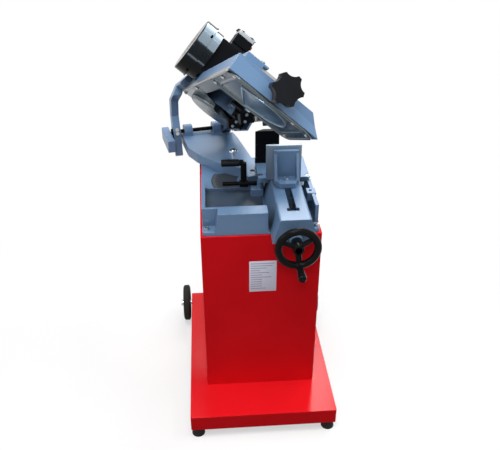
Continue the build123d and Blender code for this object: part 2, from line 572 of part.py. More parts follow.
def rail_cover():
    """Folded channel over the return strand."""
    sheet = cover_sheet(THROAT_U0 + 1, THROAT_U1 - 1, RETURN_V + 3, -78)
    lip = box(THROAT_U0 + 1, THROAT_U1 - 1, -80, -78, -COVER_T, 26)
    return sheet + lip


COVER_SCREWS = ((120, -112), (120, 112), (365, -112), (190, 114), (645, -112), (767, -112),
                (845, -112), (846, 100), (660, 150), (840, 154))


def cover_screws():
    heads = []
    for u, v in COVER_SCREWS:
        heads.append(rod((u, v, -5.5), (u, v, -COVER_T - 0.02), 6))
    return Compound(heads)


keep("front_blade_cover", front_cover(), WHEEL_PLANE)
keep("rear_blade_cover", rear_cover(), WHEEL_PLANE)
keep("rail_cover", rail_cover(), WHEEL_PLANE)
keep("cover_screws", cover_screws(), WHEEL_PLANE)


# Band wheels and band

def band_wheel(u, bore):
    """Flanged wheel with a thin web and lightening holes."""
    radius = BAND_R - GAP
    wheel = rod((u, 0, WHEEL_N0), (u, 0, WHEEL_N1), radius)
    for n0, n1 in ((WHEEL_N0 - 1, WHEEL_N0 + 7), (WHEEL_N1 - 7, WHEEL_N1 + 1)):
        wheel -= rod((u, 0, n0), (u, 0, n1), radius - 9)
    wheel += rod((u, 0, WHEEL_N0), (u, 0, WHEEL_N1), 26)
    for index in range(5):
        angle = radians(72 * index)
        hole = (u + 55 * cos(angle), 55 * sin(angle))
        wheel -= rod((*hole, WHEEL_N0), (*hole, WHEEL_N1), 16)
    return wheel - rod((u, 0, WHEEL_N0 - 9), (u, 0, WHEEL_N1 + 9), bore)


def half_loop(u, side):
    """Half turn of the band round one wheel."""
    n0, n1 = BAND_N - BAND_W / 2, BAND_N + BAND_W / 2
    ring = rod((u, 0, n0), (u, 0, n1), BAND_R + BAND_T) - rod((u, 0, n0 - 1), (u, 0, n1 + 1), BAND_R)
    reach = 2 * BAND_R * side
    return ring & box(u, u + reach, -2 * BAND_R, 2 * BAND_R, n0 - 2, n1 + 2)


def twist_section(u, angle):
    """The band's section at one place on the cutting strand, turned about the strand."""
    place = Plane(origin=(u, BAND_R + BAND_T / 2, BAND_N), x_dir=(0, 1, 0), z_dir=(1, 0, 0))
    return place * Rot(Z=angle) * Rectangle(BAND_T, BAND_W)


def saw_band():
    n0, n1 = BAND_N - BAND_W / 2, BAND_N + BAND_W / 2
    band = half_loop(IDLER_U, 1) + half_loop(DRIVE_U, -1)
    band += box(DRIVE_U, IDLER_U, -BAND_R - BAND_T, -BAND_R, n0, n1)
    stations = [(DRIVE_U, 0), (DRIVE_U + 4, 0), (REAR_GUIDE_U - 16, WHEEL_CANT),
                (FRONT_GUIDE_U + GUIDE_TRAVEL + 16, WHEEL_CANT), (IDLER_U - 20, 0), (IDLER_U, 0)]
    for (u0, a0), (u1, a1) in zip(stations, stations[1:]):
        band += loft([twist_section(u0, a0), twist_section(u1, a1)], ruled=True)
    return band


keep("drive_wheel", band_wheel(DRIVE_U, SHAFT_R), WHEEL_PLANE)
keep("idler_wheel", band_wheel(IDLER_U, IDLER_R + FIT), WHEEL_PLANE)
keep("saw_band", saw_band(), WHEEL_PLANE)


# Drive: output shaft, worm wheel, worm shaft, gearbox, motor

def output_shaft():
    return rod((DRIVE_U, 0, WHEEL_N0 - 2), (DRIVE_U, 0, WORM_N + 18), SHAFT_R)


def worm_wheel():
    wheel = rod((DRIVE_U, 0, WORM_N - 12), (DRIVE_U, 0, WORM_N + 12), WORM_WHEEL_R)
    return wheel - rod((DRIVE_U, 0, 0), (DRIVE_U, 0, WORM_N + 30), SHAFT_R + PRESS)


def worm_shaft():
    """Motor shaft with the worm at one end, the rotor core and the fan seat at the other."""
    shaft = rod((WORM_U, MOTOR_V0 + 14, WORM_N), (WORM_U, 46, WORM_N), 8)
    shaft += rod((WORM_U, MOTOR_V1 - 1, WORM_N), (WORM_U, MOTOR_V1 - 28, WORM_N), 41)
    return shaft + rod((WORM_U, -28, WORM_N), (WORM_U, 30, WORM_N), WORM_R)


def gearbox_housing():
    tower = box(WORM_U - 78, WORM_U + 66, GEARBOX_V0, GEARBOX_V1, BOW_DEPTH + 0.3, GEARBOX_N1)
    tower = rounded(tower, Axis.Y, 34, lambda c: c.Z > 150)
    round_part = rod((DRIVE_U, 0, BOW_DEPTH + 0.3), (DRIVE_U, 0, WORM_N + 26), 58)
    nose = box(WORM_U - 24, WORM_U + 24, -40, 54, WORM_N - 26, WORM_N + 26)
    body = tower + round_part + rounded(nose, Axis.Y, 10)
    body -= rod((DRIVE_U, 0, WORM_N - 16), (DRIVE_U, 0, WORM_N + 20), WORM_WHEEL_R + 3)
    body -= rod((DRIVE_U, 0, 0), (DRIVE_U, 0, WORM_N), SHAFT_R + FIT)
    body -= rod((WORM_U, -60, WORM_N), (WORM_U, 47, WORM_N), WORM_R + 3)
    body -= rod((WORM_U, GEARBOX_V0 - 1, WORM_N), (WORM_U, GEARBOX_V1 + 1, WORM_N), 8 + FIT)
    body -= box(WORM_U - 90, WORM_U + 90, GEARBOX_V0 - 1, SADDLE_V, SADDLE_N, GEARBOX_N1 + 1)
    plug = rod((WORM_U + 10, SADDLE_V - 14, SADDLE_N - 5), (WORM_U + 10, SADDLE_V - 14, SADDLE_N + 12), 13)
    body += fillet(plug.edges().filter_by(GeomType.CIRCLE).group_by(Axis.Z)[-1], 7)
    return body - box(WORM_U - 66, WORM_U + 54, GEARBOX_V0 + 10, GEARBOX_V1 - 36, WORM_N + 24, SADDLE_N - 14)


def motor_at(v):
    return WORM_U, v, WORM_N


def motor_body():
    """Stator housing, bored for the rotor core."""
    body = rod(motor_at(GEARBOX_V0 - 0.05), motor_at(COWL_V - 2.9), STATOR_R)
    return body - rod(motor_at(0), motor_at(MOTOR_V0), 42)


def fan_cowl():
    """Cup over the fan with a lip round its mouth and rows of air slots in its end."""
    cup = rod(motor_at(COWL_V), motor_at(MOTOR_V0), MOTOR_R)
    cup = fillet(cup.edges().filter_by(GeomType.CIRCLE).group_by(Axis.Y)[0], 5)
    cup += rod(motor_at(COWL_V - 3), motor_at(COWL_V + 1), MOTOR_R + 2.5)
    cup -= rod(motor_at(COWL_V - 3), motor_at(MOTOR_V0 + 3), MOTOR_R - 2.5)
    cup -= rod(motor_at(COWL_V + 2), motor_at(COWL_V - 4), STATOR_R + FIT)
    for index in range(-3, 4):
        half = 60 - 7 * abs(index)
        n = WORM_N + 14 * index
        cup -= box(WORM_U - half, WORM_U + half, MOTOR_V0 - 5, MOTOR_V0 + 5, n - 2.5, n + 2.5)
    return cup


def motor_fan():
    fan = rod(motor_at(MOTOR_V0 + 16), motor_at(MOTOR_V0 + 20), 70)
    for index in range(6):
        angle = radians(60 * index)
        blade = box(20, 70, -1.5, 1.5, -7, 0)
        outwards = (cos(angle), 0, sin(angle))
        fan += Plane(origin=motor_at(MOTOR_V0 + 20), x_dir=outwards, z_dir=(0, -1, 0)) * blade
    return fan - rod(motor_at(MOTOR_V0 - 9), motor_at(MOTOR_V0 + 60), 8 + PRESS)


TERMINAL = (WORM_U - 22, WORM_U + 46, -104.0, -40.0, GEARBOX_N1 + 0.05, GEARBOX_N1 + 44)
BUTTON_N, BUTTON_R, BUTTON_PROUD = GEARBOX_N1 + 22, 7.0, 6.0
START_U, STOP_U = WORM_U - 4, WORM_U + 28


def terminal_box():
    """Electrical box with a bevelled top and two holes for its push buttons."""
    u0, u1, v0, v1, n0, n1 = TERMINAL
    shell = box(u0, u1, v0, v1, n0, n1)
    shell = chamfer(shell.edges().group_by(Axis.Z)[-1], 5)
    shell -= box(u0 + 3, u1 - 3, v0 + 3, v1 - 3, n0 + 3, n1 - 6)
    for u in (START_U, STOP_U):
        shell -= rod((u, v1 - 9, BUTTON_N), (u, v1 + 1, BUTTON_N), BUTTON_R + 0.5)
    return shell


def push_button(u):
    v1 = TERMINAL[3]
    button = rod((u, v1 - 4, BUTTON_N), (u, v1 + BUTTON_PROUD, BUTTON_N), BUTTON_R)
    return button + rod((u, v1 - 6, BUTTON_N), (u, v1 - 3.4, BUTTON_N), BUTTON_R + 2)


keep("output_shaft", output_shaft(), WHEEL_PLANE)
keep("worm_wheel", worm_wheel(), WHEEL_PLANE)
keep("worm_shaft", worm_shaft(), WHEEL_PLANE)
keep("gearbox_housing", gearbox_housing(), WHEEL_PLANE)
keep("motor_body", motor_body(), WHEEL_PLANE)
keep("fan_cowl", fan_cowl(), WHEEL_PLANE)
keep("motor_fan", motor_fan(), WHEEL_PLANE)
keep("terminal_box", terminal_box(), WHEEL_PLANE)
keep("start_button", push_button(START_U), WHEEL_PLANE)
keep("stop_button", push_button(STOP_U), WHEEL_PLANE)


# Band tension: gib rails, slide with the idler's shaft, screw and star knob

SLIDE_N0, SLIDE_N1 = BOW_DEPTH + GAP, BOW_DEPTH + 16
RAIL_U0, RAIL_U1 = 690.0, 862.0
KNOB_U0, KNOB_U1, KNOB_R, LOBE_R, KNOB_TURN = 922.0, 956.0, 44.0, 11.0, 20.0


def tension_rails():
    """Two gibs that hold the slide down, a wide one and a narrow one."""
    rails = []
    for outer, inner, lip in ((-108, -52, -38), (66, 52, 38)):
        rail = box(RAIL_U0, RAIL_U1, inner, outer, BOW_DEPTH + 0.05, SLIDE_N1)
        rails.append(rail + box(RAIL_U0, RAIL_U1, lip, outer, SLIDE_N1, SLIDE_N1 + 6))
    return Compound(rails)


def rail_screws():
    screws = []
    for v in (-58, 54):
        for u in (RAIL_U0 + 20, (RAIL_U0 + RAIL_U1) / 2, RAIL_U1 - 14):
            screws.append(screw_head(u, v, SLIDE_N1 + 6.05, 6, 6))
    return Compound(screws)


def tension_slide():
    """Slide plate with the block that the screw draws and the idler's stub shaft."""
    plate = box(RAIL_U0 + 14, RAIL_U1 - 16, -51.4, 51.4, SLIDE_N0, SLIDE_N1 - GAP)
    block = box(IDLER_U - 12, IDLER_U + 42, -13, 31, WHEEL_N1 + 1, SLIDE_N0 + 1)
    block += rod((IDLER_U, 0, WHEEL_N0 - 3), (IDLER_U, 0, WHEEL_N1 + 2), IDLER_R)
    bore = rod((IDLER_U + 8, TENSION_V, TENSION_N), (IDLER_U + 50, TENSION_V, TENSION_N), TENSION_R + FIT)
    return plate + block - bore


def tension_screw():
    start = (IDLER_U + 28, TENSION_V, TENSION_N)
    screw = rod(start, (KNOB_U0 + 10, TENSION_V, TENSION_N), TENSION_R)
    return screw + rod((BOW_U1 + 0.5, TENSION_V, TENSION_N), (BOW_U1 + 6, TENSION_V, TENSION_N), 11)


def star_knob():
    """Six-lobed hand knob."""
    def at(u):
        return u, TENSION_V, TENSION_N
    knob = rod(at(KNOB_U0), at(KNOB_U1), KNOB_R - 9)
    for index in range(6):
        angle = radians(60 * index + KNOB_TURN)
        reach = KNOB_R - LOBE_R
        v, n = TENSION_V + reach * cos(angle), TENSION_N + reach * sin(angle)
        knob += rod((KNOB_U0, v, n), (KNOB_U1, v, n), LOBE_R)
    knob += rod(at(BOW_U1 + 6.5), at(KNOB_U0 + 2), 16)
    return knob - rod(at(BOW_U1), at(KNOB_U0 + 10.1), TENSION_R)


keep("tension_rails", tension_rails(), WHEEL_PLANE)
keep("rail_screws", rail_screws(), WHEEL_PLANE)
keep("tension_slide", tension_slide(), WHEEL_PLANE)
keep("tension_screw", tension_screw(), WHEEL_PLANE)
keep("star_knob", star_knob(), WHEEL_PLANE)


# Blade guides: a beam in the throat, a fixed rear guide and a sliding front guide

BEAM_V0, BEAM_V1, BEAM_N0, BEAM_N1 = SPINE_V, 22.0, 16.0, 43.5
ROLLER_R, ROLLER_H = 8.0, 12.0
TAP_CHEEK_X = 26.0


def guide_beam():
    return box(THROAT_U0 - 30, THROAT_U1 + 18, BEAM_V0, BEAM_V1, BEAM_N0, BEAM_N1)


def front_arm(u):
    """Arm that clasps the beam from below and reaches out to the cutting strand."""
    arm = box(u - 17, u + 17, BEAM_V1 + GAP, 80, 22, 43)
    clasp = box(u - 17, u + 17, BEAM_V0 - 12, BEAM_V1 + 12, BEAM_N0 - 12, 43)
    clasp -= box(u - 18, u + 18, BEAM_V0 - GAP, BEAM_V1 + GAP, BEAM_N0 - GAP, 60)
    return arm + clasp


def rear_arm(u):
    """Short arm under the drive housing's top wall."""
    return box(u - 17, u + 17, 44, 84, WHEEL_N1 + 1.5, BOW_DEPTH - WALL)


BRIDGE_Z0, BRIDGE_Z1 = STRAND_Z + BAND_W / 2 + 2, STRAND_Z + 25


def guide_block(u, x1, body_z0, body_z1):
    """Bridge over the strand, upright in the bow frame, with a body beside the rollers."""
    y0, y1 = -u - 17, -u + 17
    bridge = box(-30, x1, y0, y1, BRIDGE_Z0, BRIDGE_Z1)
    cheek = box(-30, -19, y0, y1, body_z0, BRIDGE_Z1 - 5)
    body = rounded(box(-63, -19, y0, y1, body_z0, body_z1), Axis.Y, 4)
    return bridge + cheek + body


def tap_cheek(u):
    """Cheek beyond the rollers that carries the coolant tap."""
    return box(TAP_CHEEK_X - 8, TAP_CHEEK_X, -u - 17, -u + 17, STRAND_Z - 24, BRIDGE_Z1)


def guide_rollers(u):
    """Two rollers that pinch the band, on pins under the block."""
    rollers = []
    for side in (-1, 1):
        x = side * (ROLLER_R + BAND_T / 2 + 0.35)
        z1 = STRAND_Z + BAND_W / 2 + 1.6
        rollers.append(rod((x, -u, z1 - ROLLER_H), (x, -u, z1), ROLLER_R))
    return Compound(rollers)


FROM_PLANE = IN_PLANE.inverse()
keep("guide_beam", guide_beam(), WHEEL_PLANE)
keep("rear_guide", FROM_PLANE * rear_arm(REAR_GUIDE_U) + guide_block(REAR_GUIDE_U, 10, -8, 24), BOW)
keep("rear_guide_rollers", guide_rollers(REAR_GUIDE_U), BOW)
front_block = guide_block(FRONT_GUIDE_U, TAP_CHEEK_X, 5, BRIDGE_Z1) + tap_cheek(FRONT_GUIDE_U)
keep("front_guide", FROM_PLANE * front_arm(FRONT_GUIDE_U) + front_block, BOW)
keep("front_guide_rollers", guide_rollers(FRONT_GUIDE_U), BOW)


# Coolant tap and its bent nozzle on the front guide

TAP_X, TAP_Y, TAP_Z = 34.0, -FRONT_GUIDE_U + 6, STRAND_Z - 17
TAP_END = TAP_X + 8
HANDLE_ANGLE, HANDLE_REACH = -62.0, 26.0


def coolant_nozzle():
    """Bent tube from the tap, outwards and down."""
    steps = ((-1, 0, 0), (12, 0, -2), (20, -8, -18), (22, -12, -36))
    bends = [(TAP_END + x, TAP_Y + y, TAP_Z + z) for x, y, z in steps]
    path = FilletPolyline(*bends, radius=8)
    ring = Plane(origin=path @ 0, z_dir=path % 0) * Circle(3.2)
    return sweep(ring, path)


def coolant_tap():
    """Tap body on the guide's cheek, with a spindle to the front."""
    body = rod((TAP_CHEEK_X + 0.05, TAP_Y, TAP_Z), (TAP_END, TAP_Y, TAP_Z), 6.5)
    body += rod((TAP_X, TAP_Y, TAP_Z), (TAP_X, TAP_Y - 13, TAP_Z), 4.5)
    return body + coolant_nozzle()


def tap_lever():
    """Flat handle on the front of the tap's spindle."""
    hub = rod((TAP_X, TAP_Y - 13.3, TAP_Z), (TAP_X, TAP_Y - 19, TAP_Z), 6)
    handle = rounded(box(0, HANDLE_REACH, -4.5, 4.5, 14.5, 18.5), Axis.Z, 3)
    front = Plane(origin=(TAP_X, TAP_Y, TAP_Z), x_dir=(1, 0, 0), z_dir=(0, -1, 0))
    return hub + front * Rot(Z=HANDLE_ANGLE) * handle


keep("coolant_tap", coolant_tap(), BOW)
keep("tap_lever", tap_lever(), BOW)


# Origin at the middle of the bounding box, on the floor

bounds = Compound([part for part in parts.values()]).bounding_box()
shift = Vector(-(bounds.min.X + bounds.max.X) / 2, -(bounds.min.Y + bounds.max.Y) / 2, -bounds.min.Z)
os.makedirs("parts", exist_ok=True)
for name, shape in parts.items():
    export_step(Pos(*shift) * shape, f"parts/{name}.step")


def report_axis(name, place, point, direction):
    """Print where a joint's axis lies in the finished frame."""
    start = place * Pos(*point)
    tip = place * Pos(*(Vector(*point) + Vector(*direction)))
    at = start.position + shift
    way = tip.position - start.position
    print("axis", name, [round(c, 4) for c in at], [round(c, 6) for c in way])


HERE = Location()
report_axis("swivel", HERE, (SWIVEL_X, SWIVEL_Y, ARM_Z0), (0, 0, 1))
report_axis("bow_tilt", HEAD, (0, HINGE_Y, HINGE_Z), (-1, 0, 0))
report_axis("vise_screw", HERE, (VISE_X, HANDWHEEL_Y, SCREW_Z), (0, 1, 0))
report_axis("crank_grip", HERE, (crank_centre()[0], HANDWHEEL_Y, crank_centre()[1]), (0, -1, 0))
report_axis("lever", HERE, (LEVER_X, LEVER_Y, LEVER_Z), (1, 0, 0))
report_axis("left_wheel", HERE, (-ROAD_WHEEL_X, AXLE_Y, AXLE_Z), (1, 0, 0))
report_axis("right_wheel", HERE, (ROAD_WHEEL_X, AXLE_Y, AXLE_Z), (1, 0, 0))
report_axis("drive_wheel", WHEEL_PLANE, (DRIVE_U, 0, BAND_N), (0, 0, 1))
report_axis("idler_wheel", WHEEL_PLANE, (IDLER_U, 0, BAND_N), (0, 0, 1))
report_axis("worm_shaft", WHEEL_PLANE, (WORM_U, 0, WORM_N), (0, 1, 0))
report_axis("tension", WHEEL_PLANE, (IDLER_U, TENSION_V, TENSION_N), (1, 0, 0))
report_axis("front_guide", BOW, (0, -FRONT_GUIDE_U, STRAND_Z), (0, -1, 0))
report_axis("tap_lever", BOW, (TAP_X, TAP_Y, TAP_Z), (0, -1, 0))
report_axis("start_button", WHEEL_PLANE, (START_U, TERMINAL[3], BUTTON_N), (0, 1, 0))
report_axis("stop_button", WHEEL_PLANE, (STOP_U, TERMINAL[3], BUTTON_N), (0, 1, 0))
print("shift", [round(c, 4) for c in shift], "size", [round(c, 1) for c in bounds.size])
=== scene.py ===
# %% [markdown]
# A metal cutting band saw is a machine of castings, sheet metal and turned steel. The castings and every
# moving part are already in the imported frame, so this lesson loads that frame first and then adds light,
# a camera, finishes and the small details that make the machine look used and real.

# %% load the machine
import bpy
import json
import math
from mathutils import Matrix, Vector


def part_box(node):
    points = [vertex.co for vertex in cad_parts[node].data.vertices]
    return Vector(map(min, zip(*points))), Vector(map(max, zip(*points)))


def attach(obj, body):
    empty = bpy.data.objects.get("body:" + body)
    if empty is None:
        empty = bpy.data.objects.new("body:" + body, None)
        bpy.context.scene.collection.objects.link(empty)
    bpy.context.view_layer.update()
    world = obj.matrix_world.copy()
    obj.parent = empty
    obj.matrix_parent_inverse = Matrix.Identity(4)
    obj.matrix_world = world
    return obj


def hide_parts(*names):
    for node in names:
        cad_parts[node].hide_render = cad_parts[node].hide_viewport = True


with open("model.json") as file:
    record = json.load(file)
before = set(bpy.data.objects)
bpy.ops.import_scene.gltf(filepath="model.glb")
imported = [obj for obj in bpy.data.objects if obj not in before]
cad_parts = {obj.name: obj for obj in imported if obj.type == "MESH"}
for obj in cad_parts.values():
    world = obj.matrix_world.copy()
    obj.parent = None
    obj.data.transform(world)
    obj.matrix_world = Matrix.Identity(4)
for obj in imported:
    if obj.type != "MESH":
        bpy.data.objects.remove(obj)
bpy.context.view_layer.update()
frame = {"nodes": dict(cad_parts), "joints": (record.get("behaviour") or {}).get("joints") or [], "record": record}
scene = bpy.context.scene
scene.view_settings.view_transform = "Standard"

# %% [markdown]
# The photograph looks down on the machine from in front of the vise. The camera's place was worked out
# from the edges of the stand, so it is written here as a point, three turns and a focal length.

# %% camera
CAMERA_PLACE = (-0.1318, -1.9152, 1.7361)
CAMERA_DOWN, CAMERA_ROLL, CAMERA_HEADING = 30.85, 0.09, -4.14
SENSOR_WIDTH, FOCAL_LENGTH = 36.0, 44.98
camera_data = bpy.data.cameras.new("photo_camera")
camera_data.sensor_width = SENSOR_WIDTH
camera_data.lens = FOCAL_LENGTH
camera = bpy.data.objects.new("photo_camera", camera_data)
camera.location = CAMERA_PLACE
camera.rotation_euler = [math.radians(turn) for turn in (90 - CAMERA_DOWN, CAMERA_ROLL, CAMERA_HEADING)]
scene.collection.objects.link(camera)
scene.camera = camera
print("camera at", tuple(round(c, 3) for c in camera.location))

# %% [markdown]
# The machine stands on a pale floor under soft light. In the photograph level faces are about twice as
# bright as upright ones, so one wide lamp hangs above, and the sky adds only a weak fill. A long lamp on
# the right lights that side without being mirrored, and one behind gives the level tops a sheen. A small
# lamp above the camera acts as a flash, and a weak one on the left lifts the shade. The floor and the sky
# look white to the camera and to shiny metal. Near the machine the floor still takes its shadow, and
# further out it fades into white.

# %% floor and lights
def seen_directly(tree):
    """One for rays from the camera, from gloss or through glass, and zero for scattered light."""
    path = tree.nodes.new("ShaderNodeLightPath")
    factor = path.outputs["Is Camera Ray"]
    for other in ("Is Glossy Ray", "Is Transmission Ray"):
        most = tree.nodes.new("ShaderNodeMath")
        most.operation = "MAXIMUM"
        tree.links.new(factor, most.inputs[0])
        tree.links.new(path.outputs[other], most.inputs[1])
        factor = most.outputs[0]
    return factor


def map_range(tree, value, before=(0.0, 1.0), after=(0.0, 1.0), kind="LINEAR"):
    """Stretch a value from one range to another."""
    stretch = tree.nodes.new("ShaderNodeMapRange")
    stretch.interpolation_type = kind
    for socket, number in zip(("From Min", "From Max", "To Min", "To Max"), (*before, *after)):
        stretch.inputs[socket].default_value = number
    tree.links.new(value, stretch.inputs["Value"])
    return stretch.outputs["Result"]


SKY_FILL = 0.18
FLOOR_SIZE, FLOOR_FADE, FLOOR_GLOW = 14.0, (0.5, 1.5), (0.55, 1.0)
FLOOR_SEEN, FLOOR_BOUNCE = 0.93, 0.20
world = bpy.data.worlds.new("studio")
scene.world = world
world.use_nodes = True
sky = world.node_tree.nodes["Background"]
sky.inputs["Color"].default_value = (1, 1, 1, 1)
sky_strength = map_range(world.node_tree, seen_directly(world.node_tree), after=(SKY_FILL, 1.0))
world.node_tree.links.new(sky_strength, sky.inputs["Strength"])

bpy.ops.object.select_all(action="DESELECT")
bpy.ops.mesh.primitive_plane_add(size=FLOOR_SIZE, location=(0, 0, 0))
floor = bpy.context.object
floor.name = "floor"
floor_paint = bpy.data.materials.new("floor_white")
floor_paint.use_nodes = True
floor_nodes, floor_links = floor_paint.node_tree.nodes, floor_paint.node_tree.links
floor_nodes.remove(floor_nodes["Principled BSDF"])


def floor_shader(kind, socket, value):
    shader = floor_nodes.new(kind)
    shader.inputs["Color"].default_value = (value, value, value, 1)
    return shader.outputs[socket]


def floor_mix(factor, first, second):
    mix = floor_nodes.new("ShaderNodeMixShader")
    floor_links.new(factor, mix.inputs[0])
    floor_links.new(first, mix.inputs[1])
    floor_links.new(second, mix.inputs[2])
    return mix.outputs[0]


floor_place = floor_nodes.new("ShaderNodeTexCoord")
floor_reach = floor_nodes.new("ShaderNodeVectorMath")
floor_reach.operation = "LENGTH"
floor_links.new(floor_place.outputs["Object"], floor_reach.inputs[0])
floor_fade = map_range(
    floor_paint.node_tree, floor_reach.outputs["Value"], FLOOR_FADE, FLOOR_GLOW, "SMOOTHSTEP")
floor_near = floor_mix(
    floor_fade, floor_shader("ShaderNodeBsdfDiffuse", "BSDF", FLOOR_SEEN),
    floor_shader("ShaderNodeEmission", "Emission", 1.0))
floor_all = floor_mix(
    seen_directly(floor_paint.node_tree),
    floor_shader("ShaderNodeBsdfDiffuse", "BSDF", FLOOR_BOUNCE), floor_near)
floor_links.new(floor_all, floor_nodes["Material Output"].inputs["Surface"])
floor.data.materials.append(floor_paint)


def soft_lamp(name, place, target, width, height, power):
    lamp_data = bpy.data.lights.new(name, "AREA")
    lamp_data.shape = "ELLIPSE"
    lamp_data.size = width
    lamp_data.size_y = height
    lamp_data.energy = power
    lamp = bpy.data.objects.new(name, lamp_data)
    lamp.location = place
    lamp.rotation_euler = (Vector(target) - Vector(place)).to_track_quat("-Z", "Y").to_euler()
    scene.collection.objects.link(lamp)
    return lamp


soft_lamp("overhead", (-0.4, -0.9, 4.1), (0, 0, 0.8), 2.5, 2.5, 106)
right_side = soft_lamp("right_side", (1.85, 0.3, 3.25), (-0.1, 0.2, 1.2), 3.4, 0.6, 57)
right_side.visible_glossy = False
soft_lamp("back_sheen", (0.4, 2.4, 2.8), (0, -0.2, 0.8), 1.3, 1.3, 38)
soft_lamp("left_fill", (-2.4, -1.4, 2.2), (0, 0, 0.8), 1.4, 1.4, 15)
soft_lamp("front_flash", (-0.35, -2.7, 2.8), (0, 0, 0.7), 0.5, 0.5, 13)

# %% [markdown]
# The bow leans and is canted, so its parts are easiest to place on the plane of its two wheels: u runs
# forwards from the hinge, v towards the cutting side and n out of the top. The joints in the frame know
# these directions, so a matrix made from them puts any bow detail in place.

# %% the plane of the wheels
joints = {joint["name"]: joint for joint in frame["joints"]}
along_u = Vector(joints["guide_slide"]["axis"]).normalized()
along_n = Vector(joints["drive_spin"]["axis"]).normalized()
along_v = along_n.cross(along_u)
band_middle = 0.017
drive_u = 0.2290265
wheel_origin = Vector(joints["drive_spin"]["pos_m"]) - along_u * drive_u - along_n * band_middle
WHEEL_PLANE = Matrix((
    (along_u.x, along_v.x, along_n.x, wheel_origin.x),
    (along_u.y, along_v.y, along_n.y, wheel_origin.y),
    (along_u.z, along_v.z, along_n.z, wheel_origin.z),
    (0, 0, 0, 1)))
print("wheel plane origin", tuple(round(c, 4) for c in wheel_origin))

# %% [markdown]
# Paint, plastic and steel are never one flat colour. One helper starts a finish: it makes the shader, a
# large soft noise for uneven colour, a fine noise for the skin of the surface, and a rounded-edge normal
# so that sharp CAD edges catch the light. Where that rounded normal leaves the face's own normal there is
# an edge, so the same node also tells where paint is rubbed thin.

# %% a helper for finishes
EDGE_LEAN, EDGE_SAMPLES = (0.985, 0.80), 4
CHIP_SCALE, CHIP_DETAIL, CHIP_RANGE = 45.0, 7.0, (0.40, 0.62)
HOLLOW_REACH, HOLLOW_SAMPLES, HOLLOW_RANGE = 0.12, 6, (0.75, 0.25)
# The first colour on the next line is painted shade for corners and hollows.
PAINTED_SHADE_COLOUR, TROUGH_DARK = (0.020, 0.024, 0.030), (0.026, 0.033, 0.042)
# The second colour on the line above darkens the trough floor in cloudy patches.
PATCHES, TROUGH_DARK_RANGE = (0.3, 0.7), (0.65, 0.90)
TROUGH_FLOOR, TROUGH_SKIN = 0.727, 0.0010
TROUGH_Y, TROUGH_HALF = -0.1068, 0.115
LEVEL_FACES = (0.5, 0.95)
CLOUD_SCALE, CLOUD_DETAIL = 7.0, 6.0
SKIN_DETAIL, SKIN_STRENGTH = 3.0, 0.35
finishes = {}


def noise(tree, place, scale, detail):
    """A noise on the piece's own coordinates."""
    grain = tree.nodes.new("ShaderNodeTexNoise")
    grain.inputs["Scale"].default_value = scale
    grain.inputs["Detail"].default_value = detail
    tree.links.new(place.outputs["Object"], grain.inputs["Vector"])
    return grain.outputs["Fac"]


def product(tree, first, second):
    times = tree.nodes.new("ShaderNodeMath")
    times.operation = "MULTIPLY"
    tree.links.new(first, times.inputs[0])
    tree.links.new(second, times.inputs[1])
    return times.outputs[0]


def lay_over(tree, factor, tint, colour):
    """Lay a second colour over the one that is there."""
    mix = tree.nodes.new("ShaderNodeMix")
    mix.data_type = "RGBA"
    mix.inputs["B"].default_value = (*colour, 1)
    tree.links.new(factor, mix.inputs["Factor"])
    tree.links.new(tint, mix.inputs["A"])
    return mix.outputs["Result"]


def rubbed_edges(tree, tint, round_edge, place, colour):
    """Lay a second colour along the edges, broken up by a rough noise."""
    face = tree.nodes.new("ShaderNodeNewGeometry")
    lean = tree.nodes.new("ShaderNodeVectorMath")
    lean.operation = "DOT_PRODUCT"
    tree.links.new(round_edge.outputs["Normal"], lean.inputs[0])
    tree.links.new(face.outputs["Normal"], lean.inputs[1])
    edge_mask = map_range(tree, lean.outputs["Value"], EDGE_LEAN)
    chips = map_range(tree, noise(tree, place, CHIP_SCALE, CHIP_DETAIL), CHIP_RANGE)
    return lay_over(tree, product(tree, edge_mask, chips), tint, colour)


def paint_shade_in_recesses(tree, tint, strength):
    """Paint shade into the colour: darken it where the surface lies in a corner or a hollow."""
    hollow = tree.nodes.new("ShaderNodeAmbientOcclusion")
    hollow.samples = HOLLOW_SAMPLES
    hollow.inputs["Distance"].default_value = HOLLOW_REACH
    depth = map_range(tree, hollow.outputs["AO"], HOLLOW_RANGE, (0.0, strength))
    return lay_over(tree, depth, tint, PAINTED_SHADE_COLOUR)


def darken_trough_in_patches(tree, tint, place, cloud):
    """Darken the floor of the chip trough in cloudy patches."""
    split = tree.nodes.new("ShaderNodeSeparateXYZ")
    tree.links.new(place.outputs["Object"], split.inputs["Vector"])
    factor = map_range(tree, cloud, PATCHES, TROUGH_DARK_RANGE)
    for side, middle, half in (("Y", TROUGH_Y, TROUGH_HALF), ("Z", TROUGH_FLOOR, TROUGH_SKIN)):
        within = tree.nodes.new("ShaderNodeMath")
        within.operation = "COMPARE"
        within.inputs[1].default_value = middle
        within.inputs[2].default_value = half
        tree.links.new(split.outputs[side], within.inputs[0])
        factor = product(tree, factor, within.outputs[0])
    return lay_over(tree, factor, tint, TROUGH_DARK)


def shine_on_top(tree, shader, low, high):
    """Give level faces more shine than upright ones."""
    face = tree.nodes.new("ShaderNodeNewGeometry")
    split = tree.nodes.new("ShaderNodeSeparateXYZ")
    tree.links.new(face.outputs["Normal"], split.inputs["Vector"])
    level = map_range(tree, split.outputs["Z"], LEVEL_FACES, (low, high))
    tree.links.new(level, shader.inputs["Specular IOR Level"])


